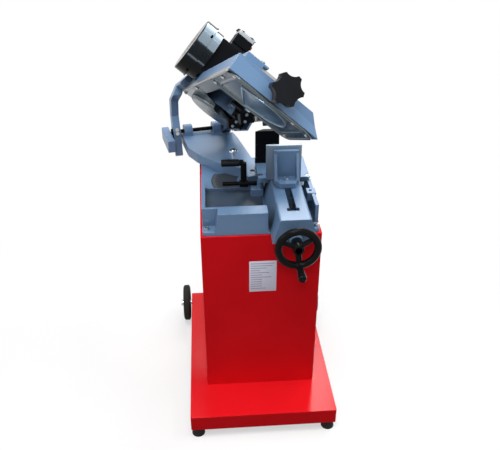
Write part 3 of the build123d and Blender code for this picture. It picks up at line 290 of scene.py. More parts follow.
def new_finish(name, colour, shade, metal, rough, rough_spread, skin_scale, skin_depth,
               edge=0.0015, shine=0.5, rubbed=None, painted_shade=0.0, darker_trough=False, top_shine=None):
    """A surface with uneven colour and roughness, a fine skin and softly rounded edges."""
    finish = bpy.data.materials.new(name)
    finish.use_nodes = True
    tree = finish.node_tree
    shader = tree.nodes["Principled BSDF"]
    shader.inputs["Metallic"].default_value = metal
    shader.inputs["Specular IOR Level"].default_value = shine
    place = tree.nodes.new("ShaderNodeTexCoord")
    cloud = noise(tree, place, CLOUD_SCALE, CLOUD_DETAIL)
    two_tone = tree.nodes.new("ShaderNodeMix")
    two_tone.data_type = "RGBA"
    two_tone.inputs["A"].default_value = (*colour, 1)
    two_tone.inputs["B"].default_value = (*shade, 1)
    tree.links.new(cloud, two_tone.inputs["Factor"])
    tint = two_tone.outputs["Result"]
    uneven = map_range(tree, cloud, after=(rough - rough_spread, rough + rough_spread))
    tree.links.new(uneven, shader.inputs["Roughness"])
    round_edge = tree.nodes.new("ShaderNodeBevel")
    round_edge.samples = EDGE_SAMPLES
    round_edge.inputs["Radius"].default_value = edge
    bump = tree.nodes.new("ShaderNodeBump")
    bump.inputs["Strength"].default_value = SKIN_STRENGTH
    bump.inputs["Distance"].default_value = skin_depth
    tree.links.new(noise(tree, place, skin_scale, SKIN_DETAIL), bump.inputs["Height"])
    tree.links.new(round_edge.outputs["Normal"], bump.inputs["Normal"])
    tree.links.new(bump.outputs["Normal"], shader.inputs["Normal"])
    if rubbed:
        tint = rubbed_edges(tree, tint, round_edge, place, rubbed)
    if painted_shade:
        tint = paint_shade_in_recesses(tree, tint, painted_shade)
    if darker_trough:
        tint = darken_trough_in_patches(tree, tint, place, cloud)
    if top_shine:
        shine_on_top(tree, shader, shine, top_shine)
    tree.links.new(tint, shader.inputs["Base Color"])
    finishes[name] = finish


print("finish helper ready")

# %% [markdown]
# The paints come first: red powder coat on the stand, grey-blue enamel on the castings, and black on the
# drive. The red and the black have little shine, because these paints are satin, and only the drum of the
# motor and the platform are smooth enough to mirror. After its two colours, each finish is told how
# metallic and how rough it is, how far the roughness varies, and how fine and how deep its skin is.

# %% paints and plastics
RED = ((0.80, 0.010, 0.016), (0.68, 0.007, 0.012))
BLUE = ((0.150, 0.265, 0.440), (0.122, 0.222, 0.380))
BLUE_SKIN = (0.0, 0.34, 0.07, 150, 0.0008)
BLUE_EDGES = {"edge": 0.003, "shine": 0.45, "rubbed": (0.36, 0.47, 0.62)}
new_finish("red_paint", *RED, 0.0, 0.34, 0.05, 260, 0.0003, edge=0.004, shine=0.02,
           rubbed=(0.82, 0.025, 0.025))
new_finish("red_gloss", *RED, 0.0, 0.17, 0.04, 260, 0.0002, edge=0.002, shine=0.01, top_shine=0.20)
# The number given on each blue finish below sets how strong the painted shade in its hollows is; the trough's
# finish is also darkened in patches on its floor.
new_finish("blue_paint", *BLUE, *BLUE_SKIN, **BLUE_EDGES, painted_shade=0.28)
new_finish("bow_blue", *BLUE, *BLUE_SKIN, **BLUE_EDGES, painted_shade=0.80)
new_finish("trough_blue", *BLUE, *BLUE_SKIN, **BLUE_EDGES, painted_shade=0.40, darker_trough=True)
new_finish("black_paint", (0.0030, 0.0034, 0.0045), (0.0055, 0.0060, 0.0075), 0.0, 0.40, 0.08, 200, 0.0006,
           shine=0.05, rubbed=(0.040, 0.044, 0.050))
new_finish("black_gloss", (0.0014, 0.0017, 0.0021), (0.0022, 0.0025, 0.0029), 0.0, 0.13, 0.04, 60, 0.0001,
           edge=0.0006, shine=0.10)
new_finish("wheel_black", (0.0035, 0.0035, 0.004), (0.006, 0.006, 0.007), 0.0, 0.22, 0.06, 200, 0.0003,
           shine=0.07)
new_finish("black_plastic", (0.0045, 0.0052, 0.0072), (0.008, 0.009, 0.012), 0.0, 0.36, 0.06, 400, 0.0004,
           shine=0.14)
new_finish("rubber", (0.012, 0.012, 0.012), (0.022, 0.022, 0.021), 0.0, 0.75, 0.08, 300, 0.0008, shine=0.2)
new_finish("tyre", (0.016, 0.016, 0.016), (0.034, 0.033, 0.032), 0.0, 0.72, 0.08, 240, 0.0010, shine=0.2)
new_finish("hub_plastic", (0.022, 0.022, 0.023), (0.036, 0.036, 0.037), 0.0, 0.5, 0.08, 300, 0.0004,
           shine=0.3)
new_finish("red_plastic", (0.60, 0.012, 0.010), (0.50, 0.010, 0.008), 0.0, 0.30, 0.05, 300, 0.0002)
new_finish("green_plastic", (0.02, 0.26, 0.05), (0.02, 0.20, 0.04), 0.0, 0.30, 0.05, 300, 0.0002)
new_finish("scale_plate", (0.050, 0.058, 0.070), (0.038, 0.045, 0.055), 0.3, 0.45, 0.06, 300, 0.0001,
           edge=0.0001)
print("paints", sorted(finishes))

# %% [markdown]
# The bare metals differ in gloss more than in colour. Ground steel is smooth, plated sheet has a cloudy
# look, and cast iron is dull and grainy. Where a number follows the depth of the skin, it is the radius
# of the edges.

# %% metals
new_finish("zinc_sheet", (0.160, 0.192, 0.208), (0.066, 0.084, 0.095), 0.85, 0.27, 0.10, 90, 0.0003, 0.0006)
# A paler, bluer copy of the plated sheet for the D panel: the extra brightness is a painted highlight.
new_finish("zinc_painted_sheen", (0.250, 0.345, 0.410), (0.155, 0.215, 0.260), 0.8, 0.25, 0.08, 90, 0.0002, 0.0006)
new_finish("steel", (0.56, 0.57, 0.57), (0.46, 0.47, 0.47), 1.0, 0.28, 0.08, 500, 0.0002, 0.0006)
new_finish("dark_steel", (0.260, 0.330, 0.400), (0.160, 0.210, 0.270), 0.5, 0.34, 0.10, 300, 0.0002, 0.0008)
new_finish("cast_iron", (0.20, 0.20, 0.20), (0.14, 0.14, 0.14), 0.8, 0.48, 0.10, 200, 0.0008)
new_finish("band_steel", (0.45, 0.45, 0.46), (0.34, 0.34, 0.36), 1.0, 0.28, 0.08, 600, 0.0001, 0.0002)
new_finish("bronze", (0.60, 0.38, 0.15), (0.50, 0.30, 0.11), 1.0, 0.35, 0.08, 300, 0.0003)
new_finish("chrome", (0.80, 0.80, 0.81), (0.76, 0.76, 0.77), 1.0, 0.10, 0.04, 200, 0.0001, 0.0008)
new_finish("tap_metal", (0.50, 0.44, 0.32), (0.40, 0.35, 0.25), 1.0, 0.30, 0.08, 300, 0.0002)
# A pale copy of the plated sheet for the edge strip: its brightness is a painted highlight along the edge.
new_finish("zinc_painted_highlight", (0.42, 0.42, 0.42), (0.29, 0.29, 0.30), 0.8, 0.32, 0.08, 150, 0.0002, 0.0006)
print("finishes", sorted(finishes))

# %% [markdown]
# The imported record says which finish each part of the machine has, so the finishes are handed out by
# name. A few parts get a variant: the platform is polished, the trough floor is darker in patches, the
# hollows of the bow and the vise get a deep painted shade, the motor shines as its cowl does, the jaw's
# bolt is bright, and the crank is as black as its wheel.

# %% finishes on the parts
variants = {"platform": "red_gloss", "base_casting": "trough_blue", "crank_bolt": "wheel_black",
            "crank_grip": "wheel_black", "bow_frame": "bow_blue", "vise_bed": "bow_blue",
            "motor_body": "black_gloss", "jaw_bolt": "chrome"}
slot_of = {part["node"]: part["material_slot"] for part in frame["record"]["subparts"]}
for node_name, node in frame["nodes"].items():
    node.data.materials.clear()
    node.data.materials.append(finishes[variants.get(node_name, slot_of[node_name])])
print("finished", len(slot_of), "parts")

# %% [markdown]
# The motor's drum is a black mirror, so it needs something bright to mirror. Two wide pale blue panels
# high on the right and a small one low in front are lamps that light the drum alone, the way a
# photographer sets a card beside a shiny thing. Light linking keeps them off all other parts.

# %% panels for the drum
DRUM_MIDDLE = Vector((-0.162, 0.259, 1.155))
PANEL_REACH, PANEL_BLUE = 2.2, (0.66, 0.84, 1.0)
PANELS = (("front_panel", (0.60, -0.38, 0.70), 2.2, 520),
          ("back_panel", (0.64, 0.47, 0.61), 2.2, 520),
          ("low_panel", (-0.28, -0.91, -0.30), 0.3, 5))
drum_parts = bpy.data.collections.new("motor_drum")
for part_name in ("fan_cowl", "motor_body"):
    drum_parts.objects.link(frame["nodes"][part_name])
for panel_name, way, size, power in PANELS:
    panel = soft_lamp(panel_name, DRUM_MIDDLE + PANEL_REACH * Vector(way), DRUM_MIDDLE, size, size, power)
    panel.data.color = PANEL_BLUE
    panel.visible_camera = False
    panel.light_linking.receiver_collection = drum_parts

# %% [markdown]
# Every new detail goes through the same few steps, as by hand: add a primitive, shape it, put it in
# place, give it a finish and tie it to the part of the machine that carries it. Small helpers keep those
# steps short.

# %% helpers for pieces
SHARP = math.radians(40)
STRAIGHT = 0.9
QUARTER_TURN = math.pi / 2


def nothing_selected():
    bpy.ops.object.select_all(action="DESELECT")


def name_piece(name):
    piece = bpy.context.object
    piece.name = name
    piece.data.name = name
    return piece


def soften(piece, width, segments=3):
    """Round the sharp edges with a bevel modifier and apply it."""
    bpy.context.view_layer.objects.active = piece
    bevel = piece.modifiers.new("soft_edges", "BEVEL")
    bevel.width = width
    bevel.segments = segments
    bevel.limit_method = "ANGLE"
    bevel.angle_limit = SHARP
    bpy.ops.object.modifier_apply(modifier="soft_edges")


def start_editing(piece, kind):
    """Open one piece in edit mode with nothing in it selected."""
    nothing_selected()
    piece.select_set(True)
    bpy.context.view_layer.objects.active = piece
    bpy.ops.object.mode_set(mode="EDIT")
    bpy.ops.mesh.select_mode(type=kind)
    bpy.ops.mesh.select_all(action="DESELECT")
    bpy.ops.object.mode_set(mode="OBJECT")


def edit_faces(piece, wanted):
    """Enter edit mode with the faces selected whose middle and normal are wanted."""
    start_editing(piece, "FACE")
    for face in piece.data.polygons:
        face.select = bool(wanted(face.center, face.normal))
    bpy.ops.object.mode_set(mode="EDIT")


def edit_edges(piece, wanted):
    """Enter edit mode with the edges selected whose middle and direction are wanted."""
    start_editing(piece, "EDGE")
    points = piece.data.vertices
    for edge in piece.data.edges:
        first, second = (points[index].co for index in edge.vertices)
        edge.select = bool(wanted((first + second) / 2, (second - first).normalized()))
    bpy.ops.object.mode_set(mode="EDIT")


def leave_editing():
    bpy.ops.object.mode_set(mode="OBJECT")


def press(width, rise):
    """Inset the selected face and move the new inner face along z, as a press tool would."""
    bpy.ops.mesh.inset(thickness=width, depth=0)
    bpy.ops.transform.translate(value=(0, 0, rise))


def combine(base, tool, how):
    """Join a tool to a piece, or cut it away, with a boolean modifier."""
    step = base.modifiers.new("combine", "BOOLEAN")
    step.operation = how
    step.solver = "EXACT"
    step.object = tool
    bpy.context.view_layer.objects.active = base
    bpy.ops.object.modifier_apply(modifier="combine")
    bpy.data.objects.remove(tool, do_unlink=True)


def slab(name, low, high):
    """A block between two corners, with its size already in its mesh."""
    nothing_selected()
    low, high = Vector(low), Vector(high)
    bpy.ops.mesh.primitive_cube_add(size=1, location=(low + high) / 2)
    piece = name_piece(name)
    piece.scale = high - low
    bpy.ops.object.transform_apply(location=True, rotation=True, scale=True)
    return piece


def copies(piece, places):
    """Copy a finished model to several places, each with its own mesh, and join them."""
    made = []
    for place in places:
        twin = piece.copy()
        twin.data = piece.data.copy()
        twin.matrix_world = place @ piece.matrix_world
        scene.collection.objects.link(twin)
        made.append(twin)
    name = piece.name
    bpy.data.objects.remove(piece, do_unlink=True)
    return join_all(name, made)


def join_all(name, pieces):
    nothing_selected()
    for piece in pieces:
        piece.select_set(True)
    bpy.context.view_layer.objects.active = pieces[0]
    bpy.ops.object.join()
    return name_piece(name)


def set_in_place(piece, place=None, smooth=35):
    """Move the piece by a matrix, and leave the move in its mesh."""
    nothing_selected()
    piece.select_set(True)
    bpy.context.view_layer.objects.active = piece
    if place is not None:
        piece.matrix_world = place @ piece.matrix_world
    bpy.ops.object.transform_apply(location=True, rotation=True, scale=True)
    bpy.ops.object.shade_smooth_by_angle(angle=math.radians(smooth))


def give_finish(piece, finish, body, stands_for=()):
    """Finish a piece, tie it to a body and hide the parts it stands for."""
    piece.data.materials.clear()
    piece.data.materials.append(finishes[finish])
    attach(piece, body)
    if stands_for:
        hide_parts(*stands_for)
    print(piece.name, "on", body, len(piece.data.polygons), "faces")


def upright(middle, way):
    return abs(way.z) > STRAIGHT


def faces_up(middle, normal):
    return normal.z > STRAIGHT


def faces_down(middle, normal):
    return normal.z < -STRAIGHT


def everything(middle, normal):
    return True


print("helpers ready")

# %% [markdown]
# The vise handwheel is a black cast wheel with a round rim and three spokes that are dished towards the
# vise. A torus is the natural start for the rim, tapered cones make the spokes, and the hub is a bevelled
# cylinder. They overlap and are joined as one mesh, which is simpler than a boolean and looks the same.

# %% handwheel
RIM_RADIUS, RIM_ROUND = 0.0585, 0.0113
HUB_RADIUS, HUB_LENGTH, HUB_BACK, HUB_SOFT = 0.017, 0.047, 0.0115, 0.003
SPOKES, SPOKE_REACH, SPOKE_DISH, SPOKE_FLAT = 3, 0.057, 0.008, 0.62
SPOKE_FOOT, SPOKE_TIP = 0.0125, 0.0095
BOSS_RADIUS, BOSS_LENGTH, BOSS_FRONT, BOSS_SOFT = 0.011, 0.015, 0.0045, 0.0015
FACING_FRONT = (QUARTER_TURN, 0, 0)
wheel_centre = Vector(joints["screw_turn"]["pos_m"])
crank_centre = Vector(joints["grip_spin"]["pos_m"])
crank_angle = math.atan2(crank_centre.z - wheel_centre.z, crank_centre.x - wheel_centre.x)
nothing_selected()
bpy.ops.mesh.primitive_torus_add(
    major_radius=RIM_RADIUS, minor_radius=RIM_ROUND, major_segments=96, minor_segments=20,
    location=wheel_centre, rotation=FACING_FRONT)
wheel_parts = [name_piece("wheel_rim")]
bpy.ops.mesh.primitive_cylinder_add(
    vertices=48, radius=HUB_RADIUS, depth=HUB_LENGTH, location=wheel_centre + Vector((0, HUB_BACK, 0)),
    rotation=FACING_FRONT)
wheel_parts.append(name_piece("wheel_hub"))
soften(wheel_parts[-1], HUB_SOFT)
for step in range(SPOKES):
    angle = crank_angle + step * 2 * math.pi / SPOKES
    spoke_start = wheel_centre + Vector((0, SPOKE_DISH, 0))
    spoke_end = wheel_centre + SPOKE_REACH * Vector((math.cos(angle), 0, math.sin(angle)))
    spoke_way = spoke_end - spoke_start
    bpy.ops.mesh.primitive_cone_add(
        vertices=32, radius1=SPOKE_FOOT, radius2=SPOKE_TIP, depth=spoke_way.length,
        location=(spoke_start + spoke_end) / 2, rotation=spoke_way.to_track_quat("Z", "Y").to_euler())
    wheel_parts.append(name_piece("wheel_spoke"))
    wheel_parts[-1].scale = (1.0, SPOKE_FLAT, 1.0)
bpy.ops.mesh.primitive_cylinder_add(
    vertices=32, radius=BOSS_RADIUS, depth=BOSS_LENGTH, location=crank_centre - Vector((0, BOSS_FRONT, 0)),
    rotation=FACING_FRONT)
wheel_parts.append(name_piece("crank_boss"))
soften(wheel_parts[-1], BOSS_SOFT)
handwheel = join_all("cast_handwheel", wheel_parts)
set_in_place(handwheel)
give_finish(handwheel, "wheel_black", "screw", ["handwheel"])

# %% [markdown]
# The star knob that tightens the band is moulded plastic with six lobes, all soft to the hand. An outline
# could be drawn and extruded, but round cutters give true arcs at once. So it starts as a disc, six
# notches are cut into its edge by boolean modifiers, and a wide bevel then melts the corners. A short
# neck is joined on behind.

# %% star knob
KNOB_BACK, KNOB_V, KNOB_N = 0.922, 0.017, 0.0365
KNOB_RADIUS, KNOB_DEPTH, KNOB_SOFT = 0.044, 0.034, 0.0055
KNOB_LOBES, KNOB_TURN = 6, 20
NOTCH_RADIUS, NOTCH_REACH = 0.026, 0.0605
NECK_RADIUS, NECK_LENGTH, NECK_MIDDLE, NECK_SOFT = 0.016, 0.037, -0.0165, 0.001
nothing_selected()
bpy.ops.mesh.primitive_cylinder_add(
    vertices=120, radius=KNOB_RADIUS, depth=KNOB_DEPTH, location=(0, 0, KNOB_DEPTH / 2))
knob = name_piece("star_knob_moulding")
for step in range(KNOB_LOBES):
    angle = math.radians(360 / KNOB_LOBES * step + KNOB_TURN)
    bpy.ops.mesh.primitive_cylinder_add(
        vertices=72, radius=NOTCH_RADIUS, depth=2 * KNOB_DEPTH,
        location=(NOTCH_REACH * math.cos(angle), NOTCH_REACH * math.sin(angle), KNOB_DEPTH / 2))
    combine(knob, name_piece("notch"), "DIFFERENCE")
soften(knob, KNOB_SOFT, 6)
bpy.ops.mesh.primitive_cylinder_add(
    vertices=48, radius=NECK_RADIUS, depth=NECK_LENGTH, location=(0, 0, NECK_MIDDLE))
knob_neck = name_piece("knob_neck")
soften(knob_neck, NECK_SOFT, 2)
combine(knob, knob_neck, "UNION")
knob_place = Matrix.Translation((KNOB_BACK, KNOB_V, KNOB_N)) @ Matrix.Rotation(QUARTER_TURN, 4, "Y")
set_in_place(knob, WHEEL_PLANE @ knob_place, 40)
give_finish(knob, "black_plastic", "knob", ["star_knob"])

# %% [markdown]
# The cover under the idler wheel is pressed from plated sheet. It has a deep rim, a bead that runs round
# inside the rim to stiffen it, and a raised panel in the shape of a D over the wheel. A block is rounded
# at its corners, and then each step of the press is one inset and one move of the inner face. The D is a
# second block with two corners rounded wide. Its paler, bluer copy of the plated sheet is a painted
# highlight, for the light the raised D catches.

# %% front cover
COVER_LOW, COVER_HIGH = (0.632, -0.1235, -0.0062), (0.8865, 0.1725, -0.0002)
COVER_CORNER, COVER_SOFT = 0.042, 0.0007
COVER_STEPS = ((0.004, 0), (0.002, 0.0042), (0.020, 0), (0.002, -0.0026), (0.005, 0), (0.002, 0.0026))
D_LOW, D_HIGH = (-0.090, -0.052, -0.0077), (0.090, 0.100, -0.0007)
D_MIDDLE, D_TURN, D_CORNER = (0.760, 0.014, 0), -19.4, 0.086
D_STEPS = ((0.005, 0), (0.003, 0.0030), (0.012, 0), (0.010, -0.0012))


def pressed(sheet, steps):
    """Press the lower face of a sheet step by step, then round its edges a little."""
    edit_faces(sheet, faces_down)
    for width, rise in steps:
        press(width, rise)
    leave_editing()
    soften(sheet, COVER_SOFT, 2)


front_cover = slab("front_cover_pressing", COVER_LOW, COVER_HIGH)
edit_edges(front_cover, upright)
bpy.ops.mesh.bevel(offset=COVER_CORNER, segments=8, affect="EDGES")
leave_editing()
pressed(front_cover, COVER_STEPS)
set_in_place(front_cover, WHEEL_PLANE, 30)
give_finish(front_cover, "zinc_sheet", "bow", ["front_blade_cover"])
d_panel = slab("d_panel", D_LOW, D_HIGH)
edit_edges(d_panel, lambda middle, way: upright(middle, way) and middle.y > 0)
bpy.ops.mesh.bevel(offset=D_CORNER, segments=16, affect="EDGES")
leave_editing()
pressed(d_panel, D_STEPS)
d_place = Matrix.Translation(D_MIDDLE) @ Matrix.Rotation(math.radians(D_TURN), 4, "Z")
set_in_place(d_panel, WHEEL_PLANE @ d_place, 30)
give_finish(d_panel, "zinc_painted_sheen", "bow")

# %% [markdown]
# The covers are held by domed screws. One screw is modelled as a bevelled disc with a cross cut into it,
# and copies of it stand at each place.

# %% cover screws
HEAD_RADIUS, HEAD_HEIGHT, HEAD_MIDDLE, HEAD_SOFT = 0.006, 0.0052, -0.0036, 0.0004
DOME_INSET, DOME_RISE = 0.0022, 0.0010
CROSS_LONG, CROSS_WIDE, CROSS_FLOOR, CROSS_OUT = 0.0033, 0.00055, -0.0061, -0.010
screw_places = ((0.120, -0.112), (0.120, 0.112), (0.365, -0.112), (0.190, 0.114), (0.645, -0.106),
                (0.767, -0.112), (0.868, -0.100), (0.868, 0.100), (0.660, 0.155), (0.852, 0.154))
nothing_selected()
bpy.ops.mesh.primitive_cylinder_add(
    vertices=32, radius=HEAD_RADIUS, depth=HEAD_HEIGHT, location=(0, 0, HEAD_MIDDLE))
cover_screw = name_piece("cover_screw_heads")
edit_faces(cover_screw, faces_down)
press(DOME_INSET, -DOME_RISE)
leave_editing()
for half_u, half_v in ((CROSS_LONG, CROSS_WIDE), (CROSS_WIDE, CROSS_LONG)):
    cutter = slab("cross_cut", (-half_u, -half_v, CROSS_OUT), (half_u, half_v, CROSS_FLOOR))
    combine(cover_screw, cutter, "DIFFERENCE")
soften(cover_screw, HEAD_SOFT, 2)
cover_screws = copies(cover_screw, [Matrix.Translation((u, v, 0)) for u, v in screw_places])
set_in_place(cover_screws, WHEEL_PLANE)
give_finish(cover_screws, "steel", "bow", ["cover_screws"])

# %% [markdown]
# A folded strip of plated sheet runs along the lower edge of the bow on its return side. Its pale colour
# is a painted highlight, so it shows as a pale line. It is a long block whose long edges are bevelled
# round, because at this size that looks like a fold.

# %% edge strip
STRIP_LOW, STRIP_HIGH = (0.104, -0.1278, -0.0064), (0.872, -0.1226, 0.0080)
STRIP_ROUND, STRIP_SOFT = 0.0018, 0.0004
edge_strip = slab("return_edge_strip", STRIP_LOW, STRIP_HIGH)
edit_edges(edge_strip, lambda middle, way: abs(way.x) > STRAIGHT)
bpy.ops.mesh.bevel(offset=STRIP_ROUND, segments=3, affect="EDGES")
leave_editing()
soften(edge_strip, STRIP_SOFT, 2)
set_in_place(edge_strip, WHEEL_PLANE)
give_finish(edge_strip, "zinc_painted_highlight", "bow")

# %% [markdown]
# Inside the throat the casting has a curved wall that follows the drive wheel. It starts as a cylinder
# without caps, is cut to its arc by bisecting it three times, and gets its wall from a solidify modifier.
# Cutting first is simpler, because only one skin is cut.

# %% wheel shroud
SHROUD_RADIUS, SHROUD_DEPTH, SHROUD_MIDDLE, SHROUD_WALL = 0.107, 0.042, 0.0222, 0.006
SHROUD_CUTS = (((0, -0.078, 0), (0, -1, 0)), ((0, 0.040, 0), (0, 1, 0)),
               ((drive_u + 0.03, 0, 0), (-1, 0, 0)))
nothing_selected()
bpy.ops.mesh.primitive_cylinder_add(
    vertices=128, radius=SHROUD_RADIUS, depth=SHROUD_DEPTH, end_fill_type="NOTHING",
    location=(drive_u, 0, SHROUD_MIDDLE))
shroud = name_piece("drive_wheel_shroud")
for cut_place, cut_away in SHROUD_CUTS:
    edit_faces(shroud, everything)
    bpy.ops.mesh.bisect(plane_co=cut_place, plane_no=cut_away, clear_outer=True)
    leave_editing()
wall = shroud.modifiers.new("wall", "SOLIDIFY")
wall.thickness = SHROUD_WALL
wall.offset = 0
bpy.context.view_layer.objects.active = shroud
bpy.ops.object.modifier_apply(modifier="wall")
set_in_place(shroud, WHEEL_PLANE)
give_finish(shroud, "bow_blue", "bow")

# %% [markdown]
# The terminal box has a separate lid that is paler than the box; that pale grey is a painted highlight
# for the shine on the top of the box. It has rounded corners, a border that slopes up, and a flat top
# with a shallow field sunk into it. So a block is bevelled and then pressed in three steps, as the
# covers are.

# %% terminal lid
WORM_AHEAD = 0.058
worm_u = drive_u + WORM_AHEAD
LID_LOW, LID_HIGH = (worm_u - 0.0235, -0.1055, 0.2400), (worm_u + 0.0475, -0.0385, 0.2530)
LID_CORNER, LID_SOFT = 0.007, 0.0008
LID_STEPS = ((0.005, 0.0040), (0.010, 0), (0.0015, -0.0010))
# The lid's pale grey is a painted highlight for the shine on top of the terminal box.
new_finish("lid_painted_sheen", (0.46, 0.49, 0.52), (0.38, 0.41, 0.44), 0.0, 0.35, 0.06, 300, 0.0003)
lid = slab("terminal_lid", LID_LOW, LID_HIGH)
edit_edges(lid, upright)
bpy.ops.mesh.bevel(offset=LID_CORNER, segments=5, affect="EDGES")
leave_editing()
edit_faces(lid, faces_up)
for width, rise in LID_STEPS:
    press(width, rise)
leave_editing()
soften(lid, LID_SOFT, 2)
set_in_place(lid, WHEEL_PLANE)
give_finish(lid, "lid_painted_sheen", "bow")

# %% [markdown]
# The worm gearbox is closed by a round cap with six hexagon bolts. The cap is a disc with a raised
# middle, and one bolt is copied round it.

# %% gearbox cap
CAP_N, CAP_RADIUS, CAP_DEPTH, CAP_SOFT = 0.143, 0.050, 0.006, 0.001
CAP_STEPS = ((0.020, 0), (0.003, 0.004), (0.012, -0.001))
CAP_BOLTS, CAP_BOLT_RING, CAP_BOLT_MIDDLE = 6, 0.041, 0.0082
CAP_BOLT_RADIUS, CAP_BOLT_DEPTH, CAP_BOLT_SOFT = 0.0056, 0.005, 0.0006
nothing_selected()
bpy.ops.mesh.primitive_cylinder_add(
    vertices=64, radius=CAP_RADIUS, depth=CAP_DEPTH, location=(0, 0, CAP_N + CAP_DEPTH / 2))
gear_cap = name_piece("gearbox_cap")
edit_faces(gear_cap, faces_up)
for width, rise in CAP_STEPS:
    press(width, rise)
leave_editing()
soften(gear_cap, CAP_SOFT, 2)
nothing_selected()
bpy.ops.mesh.primitive_cylinder_add(
    vertices=6, radius=CAP_BOLT_RADIUS, depth=CAP_BOLT_DEPTH,
    location=(CAP_BOLT_RING, 0, CAP_N + CAP_BOLT_MIDDLE))
cap_bolt = name_piece("cap_bolt")
soften(cap_bolt, CAP_BOLT_SOFT, 2)
cap_bolts = copies(cap_bolt, [
    Matrix.Rotation(math.radians(360 / CAP_BOLTS * step), 4, "Z") for step in range(CAP_BOLTS)])
set_in_place(gear_cap, WHEEL_PLANE @ Matrix.Translation((drive_u, 0, 0)))
set_in_place(cap_bolts, WHEEL_PLANE @ Matrix.Translation((drive_u, 0, 0)))
give_finish(gear_cap, "black_paint", "bow")
give_finish(cap_bolts, "steel", "bow")

# %% [markdown]
# The front of the stand carries a white plate. It is a thin bevelled sheet, ruled with plain grey bars.
# One bar is modelled and copied, and each copy is stretched to its own length.

# %% blank plate
PLATE_X, PLATE_Z, PLATE_WIDTH, PLATE_HEIGHT, PLATE_THICK = 0.0265, 0.5605, 0.088, 0.119, 0.0006
BAR_LEFT, BAR_TOP, BAR_PITCH, BAR_HALF = 0.039, 0.050, 0.0088, 0.0011
BAR_PROUD, BAR_SUNK = 0.0007, 0.0001
PLATE_SOFT, BAR_SOFT = 0.0002, 0.0001
BAR_LENGTHS = (0.076, 0.070, 0.052, 0.030, 0.060, 0.036, 0.066, 0.036, 0.036, 0.036, 0.036, 0.050)
new_finish("plate_white", (0.84, 0.86, 1.0), (0.78, 0.80, 0.96), 0.0, 0.45, 0.06, 300, 0.0001,
           edge=0.0002, shine=0.2)
new_finish("plate_grey", (0.36, 0.37, 0.50), (0.30, 0.31, 0.44), 0.0, 0.5, 0.06, 300, 0.0001,
           edge=0.0002, shine=0.2)
stand_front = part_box("stand_cabinet")[0][1]
plate = slab(
    "blank_plate",
    (PLATE_X - PLATE_WIDTH / 2, stand_front - PLATE_THICK, PLATE_Z - PLATE_HEIGHT / 2),
    (PLATE_X + PLATE_WIDTH / 2, stand_front, PLATE_Z + PLATE_HEIGHT / 2))
soften(plate, PLATE_SOFT, 2)
set_in_place(plate)
give_finish(plate, "plate_white", "stand")
bar = slab("plate_bars", (0, -BAR_PROUD, -BAR_HALF), (1, 0, BAR_HALF))
soften(bar, BAR_SOFT, 1)
bars = copies(bar, [
    Matrix.Translation((PLATE_X - BAR_LEFT, stand_front - BAR_SUNK, PLATE_Z + BAR_TOP - BAR_PITCH * row))
    @ Matrix.Diagonal((length, 1, 1, 1)) for row, length in enumerate(BAR_LENGTHS)])
set_in_place(bars)
give_finish(bars, "plate_grey", "stand")

# %% [markdown]
# The cutting edge of the band has teeth. One three-sided tooth is modelled, and an array modifier repeats
# it along the straight run between the guides. A matrix for the bow itself, which stands at its hinge,
# then puts the row in place.

# %% band teeth
CANT = math.radians(43)
TOOTH_PITCH, FIRST_TOOTH, LAST_TOOTH = 0.0042, 0.342, 0.611
TOOTH_SIZE, TOOTH_THICK, TOOTH_Z = 0.0019, 0.0009, 0.0085
along_x = along_v * math.cos(CANT) + along_n * math.sin(CANT)
bow_up = along_n * math.cos(CANT) - along_v * math.sin(CANT)
hinge = Vector(joints["bow_tilt"]["pos_m"])
BOW = Matrix((
    (along_x.x, -along_u.x, bow_up.x, hinge.x),
    (along_x.y, -along_u.y, bow_up.y, hinge.y),
    (along_x.z, -along_u.z, bow_up.z, hinge.z),
    (0, 0, 0, 1)))
nothing_selected()
bpy.ops.mesh.primitive_cylinder_add(
    vertices=3, radius=TOOTH_SIZE, depth=TOOTH_THICK, location=(0, -LAST_TOOTH, TOOTH_Z),
    rotation=(0, QUARTER_TURN, 0))
teeth = name_piece("band_teeth")
row = teeth.modifiers.new("row", "ARRAY")
row.use_relative_offset = False
row.use_constant_offset = True
row.count = int((LAST_TOOTH - FIRST_TOOTH) / TOOTH_PITCH)
set_in_place(teeth)
row.constant_offset_displace = (0, TOOTH_PITCH, 0)
bpy.ops.object.modifier_apply(modifier="row")
set_in_place(teeth, BOW)
give_finish(teeth, "band_steel", "bow")

# %% [markdown]
# Each blade guide is bolted together with two socket screws, and four more hold the fan cowl to the
# motor. One screw is a cylinder with a sunk hexagon, and copies of it sit on the front of both guides and
# round the cowl.

# %% guide and cowl screws
SOCKET_WIDE, SOCKET_MIDDLE, SCREW_SOFT = 0.55, 0.95, 0.12


def socket_screw(name, radius, height):
    """A cap screw that stands on z = 0, with its hexagon socket pressed into the top."""
    nothing_selected()
    bpy.ops.mesh.primitive_cylinder_add(
        vertices=36, radius=radius, depth=height, location=(0, 0, height / 2))
    screw = name_piece(name)
    nothing_selected()
    bpy.ops.mesh.primitive_cylinder_add(
        vertices=6, radius=radius * SOCKET_WIDE, depth=height, location=(0, 0, height * SOCKET_MIDDLE))
    combine(screw, name_piece("socket_cut"), "DIFFERENCE")
    soften(screw, radius * SCREW_SOFT, 2)
    return screw


